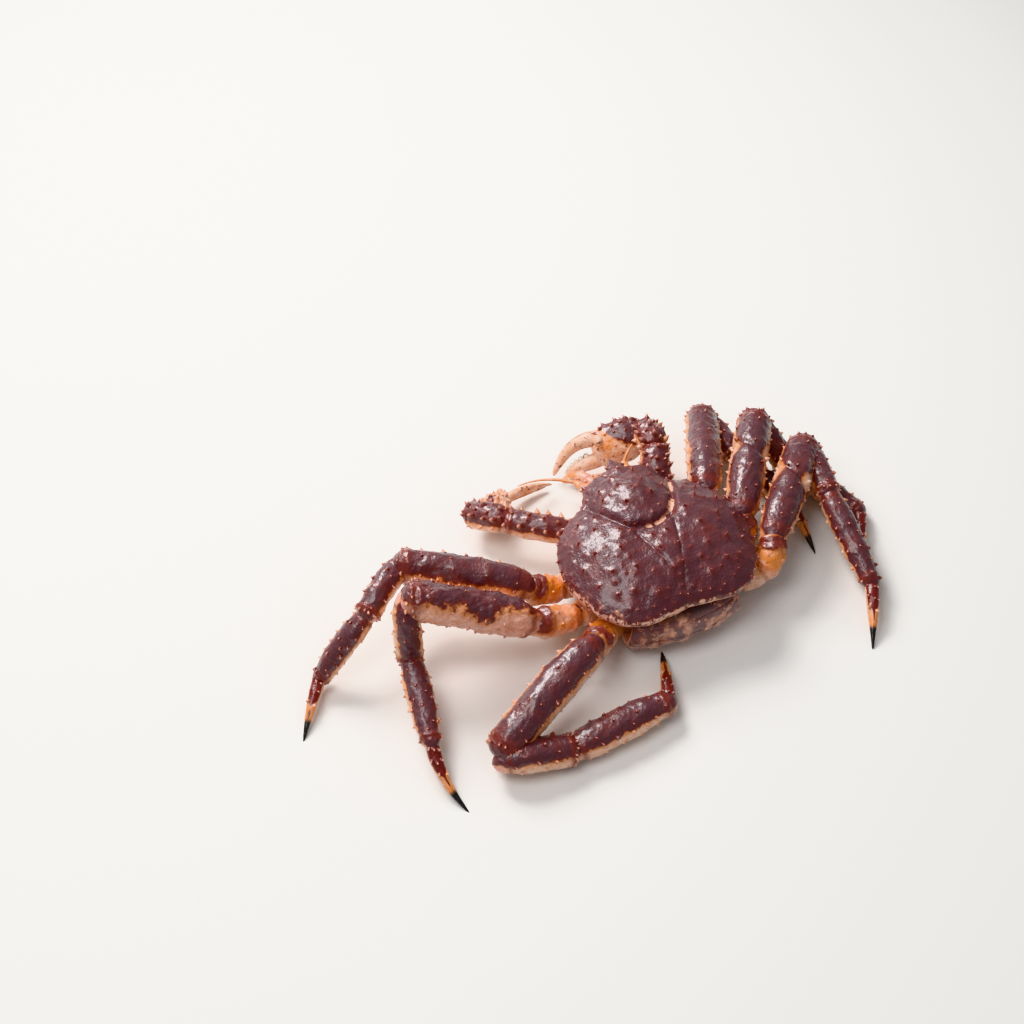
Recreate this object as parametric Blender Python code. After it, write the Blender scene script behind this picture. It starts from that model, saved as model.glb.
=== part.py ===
"""A red king crab as a still, life-size display model, for Blender 4.5.

Lengths below are in millimetres and angles in degrees; the meshes are written in metres.
The crab rests on its folded abdomen. Its head points to -Y, its left side to +X, and the
origin is on the floor under the middle of the carapace. Each piece of shell is an object of
its own, and pieces that touch keep a gap of GAP between their faces.
"""
import math
import random

import bmesh
import bpy
import numpy as np
from mathutils import Vector
from mathutils.bvhtree import BVHTree

MM = 0.001
GAP = 0.3

# The carapace, from its half outline seen from above (across, rearward) and its heights.
HALF_OUTLINE = (
    (0, -83), (12, -82), (24, -77), (33, -70), (38, -60), (42, -51), (50, -46), (66, -37),
    (81, -24), (91, -6), (95, 16), (90, 42), (80, 68), (65, 86), (46, 93), (24, 91), (0, 88),
)
OUTLINE_CENTRE = (0, 6)
MARGIN_HEIGHT = 57
MARGIN_RISE_FRONT = 8
MARGIN_RISE_REAR = 4
BACK_HEIGHT = 87
UNDERSIDE_HEIGHT = 42
WALL_INSET = 0.94
REAR_INSET = 0.76
BACK_RINGS = 12
OUTLINE_SIDES = 56
# Regions of the back that swell: centre across and rearward, spread both ways, height.
SWELLINGS = ((0, -40, 21, 30, 11), (50, 22, 26, 36, 6), (-50, 22, 26, 36, 6), (0, 44, 15, 24, 5))
# The groove behind the stomach region and the two lines behind it: half paths, depth, width.
GROOVES = (
    (((44, -44), (33, -18), (22, 1), (0, 8)), 6.0, 4.0),
    (((20, 12), (0, 76)), 2.2, 3.0),
)
# The peak at the front: its root and tip, half width and half height, and its taper.
ROSTRUM = ((0, -50, 74), (0, -88, 75))
ROSTRUM_HALF = (17, 12)
ROSTRUM_SHAPE = ((0, 0), (0.02, 1), (0.4, 0.74), (0.7, 0.42), (0.92, 0.12), (1, 0))
# Spines of one half of the back by region (across, rearward), with their length.
STOMACH_SPINES = ((10, -58), (12, -42), (13, -24), (28, -36), (26, -52))
HEART_SPINES = ((7, 22), (9, 38), (6, 56))
GILL_SPINES = (
    (34, 2), (52, -8), (70, -2), (42, 22), (62, 18), (78, 22), (36, 44), (56, 42), (74, 46),
    (46, 66), (28, 72),
)
BACK_SPINES = ((STOMACH_SPINES, 5.0), (HEART_SPINES, 4.6), (GILL_SPINES, 4.4))
# Spines along one half of the margin: direction from the middle, length.
MARGIN_SPINES = (
    (-66, 7), (-52, 5), (-38, 6.6), (-30, 5), (-18, 4.2), (-6, 3.8), (8, 3.4), (22, 3.4), (36, 3.6),
    (50, 3.6), (64, 3), (78, 3),
)

# The trunk under the carapace, and the abdomen folded under it.
TRUNK_HALF_PLAN = ((20, -62), (44, -48), (58, -20), (62, 12), (57, 44), (40, 66))
TRUNK_FLOOR = 12
ABDOMEN_PATH = (
    (80, 51), (90, 43), (93, 31), (89, 17), (74, 8), (50, 5.6), (15, 5.6), (-20, 5.8), (-36, 6.4),
)
ABDOMEN_HALF_WIDTHS = (46, 53, 57, 58, 55, 50, 43, 28, 12)
ABDOMEN_HALF_THICKNESSES = (2.5, 5, 6.2, 6.6, 6.4, 6, 6, 5.8, 4)
# The place in the path where its rear plate ends and the flap beneath begins.
ABDOMEN_FOLD = 4
# How far its sides curl forward, where its rear face is, and how far across its spines stand.
ABDOMEN_CURL = 9
ABDOMEN_REAR = 98
ABDOMEN_SPINES = (-46, -34, -22, -10, 3, 15, 27, 39, 49)

# Size of the shell along each kind of segment: place from joint to joint, share of full size.
BASE_SHAPE = (
    (-0.12, 0), (-0.1, 0.7), (0.12, 0.86), (0.36, 0.94), (0.52, 0.84), (0.7, 0.94), (0.92, 0.98),
    (1.03, 0.76), (1.08, 0),
)
MERUS_SHAPE = (
    (-0.05, 0), (-0.02, 0.5), (0.04, 0.76), (0.16, 0.92), (0.38, 1), (0.66, 0.99), (0.88, 0.96),
    (0.98, 0.86), (1.03, 0.55), (1.05, 0),
)
CARPUS_SHAPE = (
    (-0.16, 0), (-0.08, 0.55), (0.08, 0.84), (0.35, 1), (0.7, 1), (0.94, 0.92), (1.08, 0.66),
    (1.13, 0),
)
PROPODUS_SHAPE = (
    (-0.09, 0), (-0.04, 0.55), (0.08, 0.84), (0.3, 1), (0.6, 0.97), (0.85, 0.83), (0.98, 0.72),
    (1.05, 0.45), (1.08, 0),
)
DACTYL_SHAPE = (
    (-0.07, 0), (-0.03, 0.75), (0.1, 1), (0.35, 0.86), (0.62, 0.6), (0.85, 0.32), (0.985, 0.1),
    (1, 0),
)
PALM_SHAPE = (
    (-0.12, 0), (-0.04, 0.5), (0.14, 0.8), (0.45, 1), (0.8, 0.98), (1.0, 0.8), (1.12, 0.5),
    (1.16, 0),
)
FINGER_SHAPE = (
    (-0.16, 0), (-0.08, 0.8), (0.1, 1), (0.4, 0.84), (0.7, 0.62), (0.92, 0.36), (0.99, 0.16),
    (1, 0),
)
MOUTH_LEG_SHAPE = (
    (-0.1, 0), (-0.08, 0.8), (0.2, 1), (0.48, 0.8), (0.56, 0.95), (0.85, 0.75), (0.98, 0.5),
    (1.02, 0),
)
STEM_SHAPE = ((0, 0), (0.01, 1), (0.35, 0.85), (0.45, 0.95), (0.8, 0.7), (1.0, 0.55), (1.08, 0))
LASH_SHAPE = (
    (-0.04, 0), (-0.02, 1), (0.12, 0.95), (0.28, 0.85), (0.44, 0.75), (0.6, 0.62), (0.76, 0.5),
    (0.9, 0.4), (1, 0),
)
STALK_SHAPE = ((0, 0), (0.01, 1), (0.6, 0.8), (0.95, 0.8), (1, 0))

# Walking legs by pair: lengths of merus, carpus, propodus and dactyl, and half widths and heights.
LEG_LENGTHS = {1: (126, 56, 78, 61), 2: (126, 60, 88, 69), 3: (134, 64, 101, 66)}
LEG_HALF_WIDTHS = {1: (17.5, 12.5, 11.5, 6.2), 2: (18.5, 13, 12.5, 6.6), 3: (18, 15.5, 15.5, 6.8)}
LEG_HALF_HEIGHTS = {1: (19, 13, 12, 6), 2: (20.5, 13.5, 13, 6.4), 3: (19, 15.5, 15, 6.6)}
# How thick the carpus and propodus of a thin leg are, as a share of the pair's.
SLIM_LEGS = {"leg_r3": 0.84}
# Each leg: where its base leaves the trunk, the base's bend, the hip, and the azimuth and
# elevation of merus, carpus, propodus and dactyl (azimuth 0 is the crab's left, -90 its front).
LEGS = {
    "leg_l1": ((54, -12, 25), (92, 4, 28), (124, 6, 49), ((-27, 11), (39, -9), (16, -41), (56, -13))),
    "leg_l2": ((56, 20, 25), (90, 38, 28), (135, 42, 46), ((-20, 22), (71, -66), (82, -8), (99, -23))),
    "leg_l3": ((50, 46, 25), (73, 66, 31), (93, 84, 47), ((26, -10), (171, -6), (-174.5, 1), (-112, -14))),
    "leg_r1": ((-54, -14, 25), (-72, -16, 27), (-79, -31, 50), ((-117, -12), (102, -8), (106, -2), (88, -11))),
    "leg_r2": ((-56, 16, 25), (-86, 26, 29), (-95, 11, 53), ((-125, 1), (117, -42), (117, -2), (62, -6))),
    "leg_r3": ((-50, 44, 25), (-90, 64, 33), (-110, 46, 52), ((-134, -3.5), (81, 0), (88, -15), (62, -15.5))),
}
BASE_HALF_WIDTH = 14.5
BASE_HALF_HEIGHT = 14
# How far the carpus of a folded leg sits beside the end of its merus.
KNEE_STEPS = {"leg_l3": (1, 8, -3)}
# How far the middle of a dactyl stands off the straight line to its tip.
DACTYL_BEND = (0, 0, 4)
DACTYL_BENDS = {"leg_l2": (5, -2, 0)}

# Claws: base start, base end, far ends of merus and carpus, and the hinge end of the palm.
CLAWS = {
    "claw_r": ((-24, -38, 27), (-37, -50, 32), (-57, -99, 54), (-60, -126, 50), (-14, -134, 32)),
    "claw_l": ((36, -36, 27), (52, -44, 32), (110, -84, 35), (136, -113, 25), (97, -121, 22)),
}
CLAW_HALF_WIDTHS = {"claw_r": (12, 15, 15, 14), "claw_l": (11, 13, 14.5, 10)}
CLAW_HALF_HEIGHTS = {"claw_r": (12, 16, 15.5, 22), "claw_l": (11, 13.5, 14.5, 12)}
# Which way the upper edge of each palm faces, and the half thickness of its fingers.
PALM_UPPER_EDGE = {"claw_r": (-0.26, -0.65, 0.70), "claw_l": (0, 0.3, 0.95)}
FINGER_HALF = {"claw_r": 8.5, "claw_l": 5.2}
# Each finger: start, bend and tip.
MOVABLE_FINGERS = {
    "claw_r": ((-15, -142, 42), (12, -147, 34), (35, -139, 9)),
    "claw_l": ((95, -118, 27), (68, -124, 23), (42, -127, 12)),
}
FIXED_FINGERS = {
    "claw_r": ((-14, -129, 24), (10, -131, 20), (24, -132, 9)),
    "claw_l": ((97, -124, 16), (68, -131, 9), (45, -132, 6)),
}
MOLARS = 6
MOLAR_RADIUS = 3.4
MOLAR_START = 0.26
MOLAR_STEP = 0.12

# Eyes: where the stalk starts and where the eye sits, on the left side, and their radii.
EYE_ROOT = (9, -68, 53)
EYE_PLACE = (10, -84, 55)
STALK_RADIUS = 2.8
EYE_RADIUS = 3.7
# Antennae: root, elbow, middle and tip of the lash, then the half widths of stem and lash.
ANTENNAE = {
    "antenna_l": ((22, -66, 55), (33, -92, 50), (58, -112, 44), (84, -122, 34)),
    "antenna_r": ((-20, -66, 54), (-18, -90, 60), (-25, -96, 66), (-34, -104, 66)),
}
STEM_HALF = (5.2, 4.6)
LASH_HALF = 1.7
# Outer mouthparts: root, middle and end, then half width and half height.
MOUTH_LEGS = {
    "maxilliped_l": ((13, -58, 32), (15, -98, 38), (34, -118, 23)),
    "maxilliped_r": ((-9, -58, 30), (-8, -88, 32), (2, -112, 20)),
}
MOUTH_LEG_HALF = (6, 7)

# Spines: length and base radius are millimetres, and SINK is how deep a root goes.
SINK = 2.4
SPINE_LEAN = 0.35
SPINE_CLEARANCE = 1.5
# Rows on a segment: angle from its upper side, count, length, start and end of the row.
MERUS_SPINES = ((62, 5, 4.4, 0.12, 0.96), (-62, 5, 4.4, 0.16, 0.96), (4, 3, 3.2, 0.2, 0.86))
CARPUS_SPINES = ((55, 3, 4.4, 0.2, 0.9), (-55, 3, 4.4, 0.25, 0.92), (0, 2, 3.8, 0.35, 0.75))
PROPODUS_SPINES = ((60, 4, 3.8, 0.12, 0.92), (-60, 4, 3.8, 0.16, 0.95), (0, 1, 3.0, 0.5, 0.5))
DACTYL_SPINES = ((40, 2, 3.0, 0.1, 0.5), (-40, 2, 3.0, 0.15, 0.55))
BASE_SPINES = ((120, 1, 7.0, 0.86, 0.86), (50, 1, 4.5, 0.6, 0.6))
CLAW_MERUS_SPINES = ((50, 4, 5.4, 0.3, 0.95), (-50, 4, 5.4, 0.3, 0.98), (0, 3, 4.6, 0.35, 0.85))
CLAW_CARPUS_SPINES = ((60, 4, 5.4, 0.22, 0.9), (-50, 4, 5.4, 0.26, 0.95), (5, 3, 5.0, 0.26, 0.85))
PALM_SPINES = ((28, 4, 5.0, 0.15, 0.9), (-28, 4, 4.6, 0.2, 0.95), (0, 3, 4.2, 0.3, 0.85))
MOUTH_LEG_SPINES = ((70, 3, 3.2, 0.3, 0.8), (-70, 3, 3.2, 0.3, 0.8))

# Paints: base colour, roughness.
SHELL = ("crab_shell", (0.13, 0.045, 0.05), 0.3)
LEG_SHELL = ("leg_shell", (0.15, 0.04, 0.04), 0.32)
JOINT_SHELL = ("joint_shell", (0.62, 0.24, 0.09), 0.4)
TIP_SHELL = ("tip_shell", (0.35, 0.06, 0.03), 0.35)
PALE_SHELL = ("pale_shell", (0.66, 0.42, 0.28), 0.45)
EYE_BLACK = ("eye_black", (0.01, 0.01, 0.012), 0.1)

draw = random.Random(11)


def unit(vector):
    vector = np.asarray(vector, float)
    return vector / np.linalg.norm(vector)


def heading(azimuth, elevation):
    """Unit vector of an azimuth from +X and an elevation above the floor."""
    turn, rise = math.radians(azimuth), math.radians(elevation)
    return np.array((math.cos(rise) * math.cos(turn), math.cos(rise) * math.sin(turn), math.sin(rise)))


class Limb:
    """An oval shell carried along a bowed axis.

    A surface point is axis(t) + size(t) * (half_width * sin(a) * side + half_height * cos(a) * up),
    with t from 0 at the near joint to 1 at the far joint and a measured from the upper side.
    """

    def __init__(self, start, end, half_width, half_height, shape, bow=0.0, bend=None, upper=(0, 0, 1)):
        self.start, self.end = np.asarray(start, float), np.asarray(end, float)
        self.half_width, self.half_height = half_width, half_height
        self.shape = shape
        self.upper = unit(upper)
        middle = (self.start + self.end) / 2
        if bend is None:
            along = unit(self.end - self.start)
            bend = middle + bow * unit(self.upper - along * (self.upper @ along))
        self.control = 2 * np.asarray(bend, float) - middle

    def axis(self, t):
        return (1 - t) ** 2 * self.start + 2 * t * (1 - t) * self.control + t ** 2 * self.end

    def frame(self, t):
        """Directions along, to the side and up at t."""
        along = unit(2 * (1 - t) * (self.control - self.start) + 2 * t * (self.end - self.control))
        up = unit(self.upper - along * (self.upper @ along))
        return along, np.cross(along, up), up

    def size(self, t):
        return np.interp(t, [place for place, _ in self.shape], [share for _, share in self.shape])

    def point(self, t, angle):
        along, side, up = self.frame(t)
        reach = self.half_width * math.sin(angle) * side + self.half_height * math.cos(angle) * up
        return self.axis(t) + self.size(t) * reach

    def normal(self, t, angle):
        along, side, up = self.frame(t)
        return unit(math.sin(angle) / self.half_width * side + math.cos(angle) / self.half_height * up)

    def body(self, sides=10):
        """Closed faceted shell, as points and faces."""
        places = [place for place, _ in self.shape]
        angles = [math.tau * step / sides for step in range(sides)]
        points = [self.axis(places[0])]
        for place in places[1:-1]:
            points += [self.point(place, angle) for angle in angles]
        points.append(self.axis(places[-1]))
        faces = lofted_faces(sides, len(places) - 2, True, True)
        return points, faces


def lofted_faces(sides, rings, near_pole, far_pole):
    """Faces of rings of points in order, with a pole point before and after them where asked."""
    first = 1 if near_pole else 0
    faces = []
    for side in range(sides):
        after = (side + 1) % sides
        if near_pole:
            faces.append((0, first + side, first + after))
        for ring in range(rings - 1):
            low = first + ring * sides
            high = low + sides
            faces.append((low + side, high + side, high + after, low + after))
        if far_pole:
            last = first + (rings - 1) * sides
            faces.append((last + side, last + sides, last + after))
    return faces


def cone(root, direction, length, radius, sides=4):
    """A spine from its root point, sunk SINK deep, as points and faces."""
    direction = unit(direction)
    across = unit(np.cross(direction, (0.31, 0.95, 0.07)))
    over = np.cross(direction, across)
    low = np.asarray(root, float) - direction * SINK
    full = radius * (length + SINK) / length
    points = []
    for step in range(sides):
        angle = math.tau * step / sides
        points.append(low + full * (math.cos(angle) * across + math.sin(angle) * over))
    points.append(np.asarray(root, float) + direction * length)
    faces = [(step, (step + 1) % sides, sides) for step in range(sides)]
    faces.append(tuple(reversed(range(sides))))
    return points, faces


def ball(centre, radius, stretch=(1, 1, 1), sides=8, rings=4):
    """A closed ball, or an egg where stretch differs by axis."""
    points = [np.asarray(centre, float) + (0, 0, -radius * stretch[2])]
    for ring in range(1, rings + 1):
        tilt = math.pi * ring / (rings + 1)
        for step in range(sides):
            turn = math.tau * step / sides
            spot = (math.sin(tilt) * math.cos(turn), math.sin(tilt) * math.sin(turn), -math.cos(tilt))
            points.append(np.asarray(centre, float) + radius * np.multiply(spot, stretch))
    points.append(np.asarray(centre, float) + (0, 0, radius * stretch[2]))
    return points, lofted_faces(sides, rings, True, True)


def limb_spines(limb, rows, stoutness=0.5):
    """Spines in rows along a limb, each leaning towards its far end."""
    spines = []
    for angle, count, length, low, high in rows:
        for step in range(count):
            place = low + (high - low) * (step / (count - 1) if count > 1 else 0)
            place += draw.uniform(-0.02, 0.02)
            around = math.radians(angle + draw.uniform(-7, 7))
            along, _, _ = limb.frame(place)
            direction = limb.normal(place, around) + SPINE_LEAN * along
            tall = length * draw.uniform(0.85, 1.15)
            spines.append((limb.point(place, around), direction, tall, stoutness * tall))
    return spines


class Piece:
    """What one named node is made from: closed bodies, spines and a paint."""

    def __init__(self, name, bodies, spines=(), paint=LEG_SHELL, spine_sides=4):
        self.name, self.bodies, self.spines, self.paint = name, bodies, list(spines), paint
        self.spine_sides = spine_sides


# The carapace.

def outline_reach(angle):
    """Distance from OUTLINE_CENTRE to the margin in a direction, smooth between the named points."""
    centre = np.array(OUTLINE_CENTRE, float)
    half = np.array(HALF_OUTLINE, float) - centre
    full = np.vstack([half, half[-2:0:-1] * (-1, 1)])
    turns = np.unwrap(np.arctan2(full[:, 1], full[:, 0]))
    reaches = np.hypot(full[:, 0], full[:, 1])
    turns, reaches = np.append(turns, turns[0] + math.tau), np.append(reaches, reaches[0])
    angle = turns[0] + (angle - turns[0]) % math.tau
    return np.interp(angle, turns, reaches)


def margin_height(y):
    rise = MARGIN_RISE_REAR if y > 0 else MARGIN_RISE_FRONT
    return MARGIN_HEIGHT + rise * (y / 90) ** 2


def path_distance(x, y, path):
    """Shortest distance in plan from a point to a half path and its mirror image."""
    best = 1e9
    for (ax, ay), (bx, by) in zip(path, path[1:]):
        edge = np.array((bx - ax, by - ay), float)
        offset = np.array((abs(x) - ax, y - ay), float)
        share = np.clip(offset @ edge / (edge @ edge), 0, 1)
        best = min(best, np.linalg.norm(offset - share * edge))
    return best


def back_point(share, angle):
    """A point of the back: share is 0 at the middle and 1 at the margin."""
    reach = outline_reach(angle) * share
    x = OUTLINE_CENTRE[0] + reach * math.cos(angle)
    y = OUTLINE_CENTRE[1] + reach * math.sin(angle)
    rim = outline_reach(angle)
    low = margin_height(OUTLINE_CENTRE[1] + rim * math.sin(angle))
    crown = (1 - min(share, 1) ** 2.3) ** 0.6
    height = low + (BACK_HEIGHT - low) * crown
    for across, rearward, spread_x, spread_y, rise in SWELLINGS:
        distance = ((x - across) / spread_x) ** 2 + ((y - rearward) / spread_y) ** 2
        height += rise * math.exp(-distance) * crown
    for path, depth, width in GROOVES:
        height -= depth * math.exp(-(path_distance(x, y, path) / width) ** 2) * crown ** 0.5
    return np.array((x, y, height))


def lower_ring(angle, step):
    """A point of the wall under the margin, on ring 1 to 3, the last at the underside."""
    rim = outline_reach(angle)
    y = OUTLINE_CENTRE[1] + rim * math.sin(angle)
    behind = np.clip((y - 50) / 35, 0, 1)
    inset = WALL_INSET + (REAR_INSET - WALL_INSET) * behind
    share = (0.99, 0.985 + (inset - 0.985) * 0.35, inset)[step - 1]
    top = margin_height(y)
    height = (top - 4, top - 4 - (top - 4 - UNDERSIDE_HEIGHT) * 0.55, UNDERSIDE_HEIGHT)[step - 1]
    x = OUTLINE_CENTRE[0] + rim * share * math.cos(angle)
    return np.array((x, OUTLINE_CENTRE[1] + rim * share * math.sin(angle), height))


def back_normal(share, angle):
    """Direction square to the back, from three close points."""
    here = back_point(share, angle)
    outward = back_point(share + 0.02, angle) - here
    sideways = back_point(share, angle + 0.04) - here
    return unit(np.cross(outward, sideways))


def carapace():
    angles = [math.tau * (step + 0.5) / OUTLINE_SIDES for step in range(OUTLINE_SIDES)]
    points = [back_point(0, 0)]
    for ring in range(1, BACK_RINGS + 1):
        share = math.sin(math.pi / 2 * ring / BACK_RINGS)
        points += [back_point(share, angle) for angle in angles]
    for step in (1, 2, 3):
        points += [lower_ring(angle, step) for angle in angles]
    points.append(np.array((*OUTLINE_CENTRE, UNDERSIDE_HEIGHT)))
    faces = lofted_faces(OUTLINE_SIDES, BACK_RINGS + 3, True, True)
    rostrum = Limb(*ROSTRUM, *ROSTRUM_HALF, ROSTRUM_SHAPE)
    return Piece("carapace", [(points, faces), rostrum.body(8)], carapace_spines(), SHELL, 5)


def carapace_spines():
    """Spines of the back by region, each region mirrored, then the ones along the margin."""
    spots = []
    for spread, length in BACK_SPINES:
        for x, y in spread:
            for sign in (1, -1):
                spots.append((sign * x + draw.uniform(-2, 2), y + draw.uniform(-2, 2), length))
    spines = []
    for x, y, length in spots:
        angle = math.atan2(y - OUTLINE_CENTRE[1], x - OUTLINE_CENTRE[0])
        share = math.hypot(x - OUTLINE_CENTRE[0], y - OUTLINE_CENTRE[1]) / outline_reach(angle)
        tall = length * draw.uniform(0.85, 1.15)
        spines.append((back_point(share, angle), back_normal(share, angle), tall, 0.6 * tall))
    for degrees, length in MARGIN_SPINES:
        for sign in (1, -1):
            angle = math.radians(degrees) if sign > 0 else math.pi - math.radians(degrees)
            outward = np.array((math.cos(angle), math.sin(angle), 0.35))
            spines.append((back_point(0.99, angle), outward, length, 0.5 * length))
    return spines


# The trunk, abdomen and head.

def trunk():
    """Block under the carapace whose side faces carry the limbs."""
    plan = [np.array(spot, float) for spot in TRUNK_HALF_PLAN]
    plan += [spot * (-1, 1) for spot in reversed(plan)]
    count = len(plan)
    points = []
    for height, share in ((TRUNK_FLOOR, 0.82), (TRUNK_FLOOR + 8, 1.0), (UNDERSIDE_HEIGHT - GAP, 1.0)):
        points += [np.array((*(spot * share), height)) for spot in plan]
    faces = lofted_faces(count, 3, False, False)
    faces.append(tuple(range(count)))
    faces.append(tuple(reversed(range(2 * count, 3 * count))))
    return Piece("thorax", [(points, faces)], (), PALE_SHELL)


def rounded_share(value, power):
    """A sine or cosine pushed towards -1 and 1, which squares an oval's ends."""
    return math.copysign(abs(value) ** power, value)


def abdomen_plate(name, first, last, spines=()):
    """One stretch of the broad plated flap, between two places of its path."""
    sides = 16
    path = np.array([(0, y, z) for y, z in ABDOMEN_PATH], float)
    slopes = np.gradient(path, axis=0)
    places = range(first, last + 1)
    step_off = GAP * unit(slopes[first]) if first else np.zeros(3)
    points = [path[first] + step_off]
    for place in places:
        over = np.cross(unit(slopes[place]), (1, 0, 0))
        middle = path[place] + (step_off if place == first else 0)
        for step in range(sides):
            angle = math.tau * step / sides
            share = rounded_share(math.cos(angle), 0.8)
            rise = rounded_share(math.sin(angle), 0.6) * ABDOMEN_HALF_THICKNESSES[place]
            curl = ABDOMEN_CURL * share ** 2 if place <= ABDOMEN_FOLD else 0
            points.append(middle + (share * ABDOMEN_HALF_WIDTHS[place], -curl, 0) + rise * over)
    points.append(path[last])
    return Piece(name, [(points, lofted_faces(sides, len(places), True, True))], spines, PALE_SHELL)


def abdomen():
    """The plate that comes down from the rear margin, then the flap beneath the trunk."""
    spines = []
    for across in ABDOMEN_SPINES:
        rearward = ABDOMEN_REAR - ABDOMEN_CURL * (across / max(ABDOMEN_HALF_WIDTHS)) ** 2
        root = np.array((across, rearward, 36 + draw.uniform(-2, 2)))
        spines.append((root, (0.1 * draw.uniform(-1, 1), 1, 0.35), 3.4, 1.9))
    last = len(ABDOMEN_PATH) - 1
    return [
        abdomen_plate("abdomen_rear", 0, ABDOMEN_FOLD, spines),
        abdomen_plate("abdomen_flap", ABDOMEN_FOLD, last),
    ]


def eye(side, sign):
    """An eye on a short stalk under the front margin."""
    root, place = np.array(EYE_ROOT) * (sign, 1, 1), np.array(EYE_PLACE) * (sign, 1, 1)
    stalk = Limb(root, place, STALK_RADIUS, STALK_RADIUS, STALK_SHAPE)
    cornea = ball(place, EYE_RADIUS, (1, 1.15, 1))
    return Piece("eye_" + side, [stalk.body(8), cornea], (), EYE_BLACK)


def antenna(name, root, elbow, lash_bend, tip):
    """Three stout joints and a lash, in one node."""
    stem = Limb(root, elbow, *STEM_HALF, STEM_SHAPE)
    lash = Limb(elbow, tip, LASH_HALF, LASH_HALF, LASH_SHAPE, bend=lash_bend)
    spine = (stem.point(0.5, 1.2), (0, -1, 0.3), 5.0, 2.0)
    return Piece(name, [stem.body(8), lash.body(6)], [spine], JOINT_SHELL)


def mouth_leg(name, root, bend, end):
    """The outer mouthpart: a short bent leg."""
    arm = Limb(root, end, *MOUTH_LEG_HALF, MOUTH_LEG_SHAPE, bend=bend)
    return Piece(name, [arm.body(8)], limb_spines(arm, MOUTH_LEG_SPINES), JOINT_SHELL)


# The limbs.

def leg(name, root, knuckle, hip, turns):
    """Base, merus, carpus, propodus and dactyl of one walking leg."""
    pair = int(name[-1])
    sign = 1 if "_l" in name else -1
    hip = np.array(hip, float)
    steps = [length * heading(*turn) for length, turn in zip(LEG_LENGTHS[pair], turns)]
    knee = hip + steps[0]
    wrist = knee + steps[1] + KNEE_STEPS.get(name, (0, 0, 0))
    ankle = wrist + steps[2]
    tip = ankle + steps[3]
    dactyl_middle = (ankle + tip) / 2 + DACTYL_BENDS.get(name, DACTYL_BEND)
    widths, heights, slim = LEG_HALF_WIDTHS[pair], LEG_HALF_HEIGHTS[pair], SLIM_LEGS.get(name, 1)
    base = Limb(root, hip, BASE_HALF_WIDTH, BASE_HALF_HEIGHT, BASE_SHAPE, bend=knuckle)
    merus = Limb(hip, knee, widths[0], heights[0], MERUS_SHAPE, bow=3 + 3 * (pair == 3))
    carpus = Limb(wrist - steps[1], wrist, widths[1] * slim, heights[1] * slim, CARPUS_SHAPE, bow=2)
    propodus = Limb(wrist, ankle, widths[2] * slim, heights[2] * slim, PROPODUS_SHAPE, bow=1)
    dactyl = Limb(ankle, tip, widths[3], heights[3], DACTYL_SHAPE, bend=dactyl_middle)
    base_rows = [(sign * angle, *rest) for angle, *rest in BASE_SPINES]
    return [
        Piece(name + "_base", [base.body()], limb_spines(base, base_rows), JOINT_SHELL),
        Piece(name + "_merus", [merus.body()], limb_spines(merus, MERUS_SPINES), LEG_SHELL),
        Piece(name + "_carpus", [carpus.body()], limb_spines(carpus, CARPUS_SPINES), LEG_SHELL),
        Piece(name + "_propodus", [propodus.body()], limb_spines(propodus, PROPODUS_SPINES), LEG_SHELL),
        Piece(name + "_dactyl", [dactyl.body(8)], limb_spines(dactyl, DACTYL_SPINES), TIP_SHELL),
    ]


def claw(name, spots):
    """Base, merus, carpus, palm with its fixed finger, and the movable finger of one claw."""
    widths, heights = CLAW_HALF_WIDTHS[name], CLAW_HALF_HEIGHTS[name]
    upper = PALM_UPPER_EDGE[name]
    base = Limb(spots[0], spots[1], widths[0], heights[0], BASE_SHAPE)
    merus = Limb(spots[1], spots[2], widths[1], heights[1], MERUS_SHAPE, bow=2)
    carpus = Limb(spots[2], spots[3], widths[2], heights[2], CARPUS_SHAPE, bow=3)
    palm = Limb(spots[3], spots[4], widths[3], heights[3], PALM_SHAPE, upper=upper)
    half = FINGER_HALF[name]
    fixed_start, fixed_bend, fixed_tip = FIXED_FINGERS[name]
    fixed = Limb(
        fixed_start, fixed_tip, half * 0.85, half * 0.95, FINGER_SHAPE, bend=fixed_bend, upper=upper
    )
    start, bend, tip = MOVABLE_FINGERS[name]
    movable = Limb(start, tip, half * 0.9, half, FINGER_SHAPE, bend=bend, upper=upper)
    hand = [palm.body(12), fixed.body(8)]
    for step in range(MOLARS):
        place = MOLAR_START + MOLAR_STEP * step
        radius = MOLAR_RADIUS * half / FINGER_HALF["claw_r"] * (1 - 0.08 * step)
        hand.append(ball(fixed.point(place, 0.0), radius, sides=6, rings=3))
    return [
        Piece(name + "_base", [base.body()], (), JOINT_SHELL),
        Piece(name + "_merus", [merus.body()], limb_spines(merus, CLAW_MERUS_SPINES), LEG_SHELL),
        Piece(name + "_carpus", [carpus.body()], limb_spines(carpus, CLAW_CARPUS_SPINES), LEG_SHELL),
        Piece(name + "_palm", hand, limb_spines(palm, PALM_SPINES), LEG_SHELL),
        Piece(name + "_finger", [movable.body(8)], (), PALE_SHELL),
    ]


# Making the objects.

def new_mesh(name, points, faces):
    """A mesh in metres from millimetre points, its faces turned outwards."""
    mesh = bpy.data.meshes.new(name)
    mesh.from_pydata([tuple(float(value) * MM for value in point) for point in points], [], faces)
    turned = bmesh.new()
    turned.from_mesh(mesh)
    bmesh.ops.recalc_face_normals(turned, faces=turned.faces)
    turned.to_mesh(mesh)
    turned.free()
    return mesh


def new_object(name, mesh):
    made = bpy.data.objects.new(name, mesh)
    bpy.context.scene.collection.objects.link(made)
    return made


def is_closed(mesh):
    work = bmesh.new()
    work.from_mesh(mesh)
    closed = len(work.faces) > 3 and all(edge.is_manifold for edge in work.edges)
    work.free()
    return closed


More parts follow.
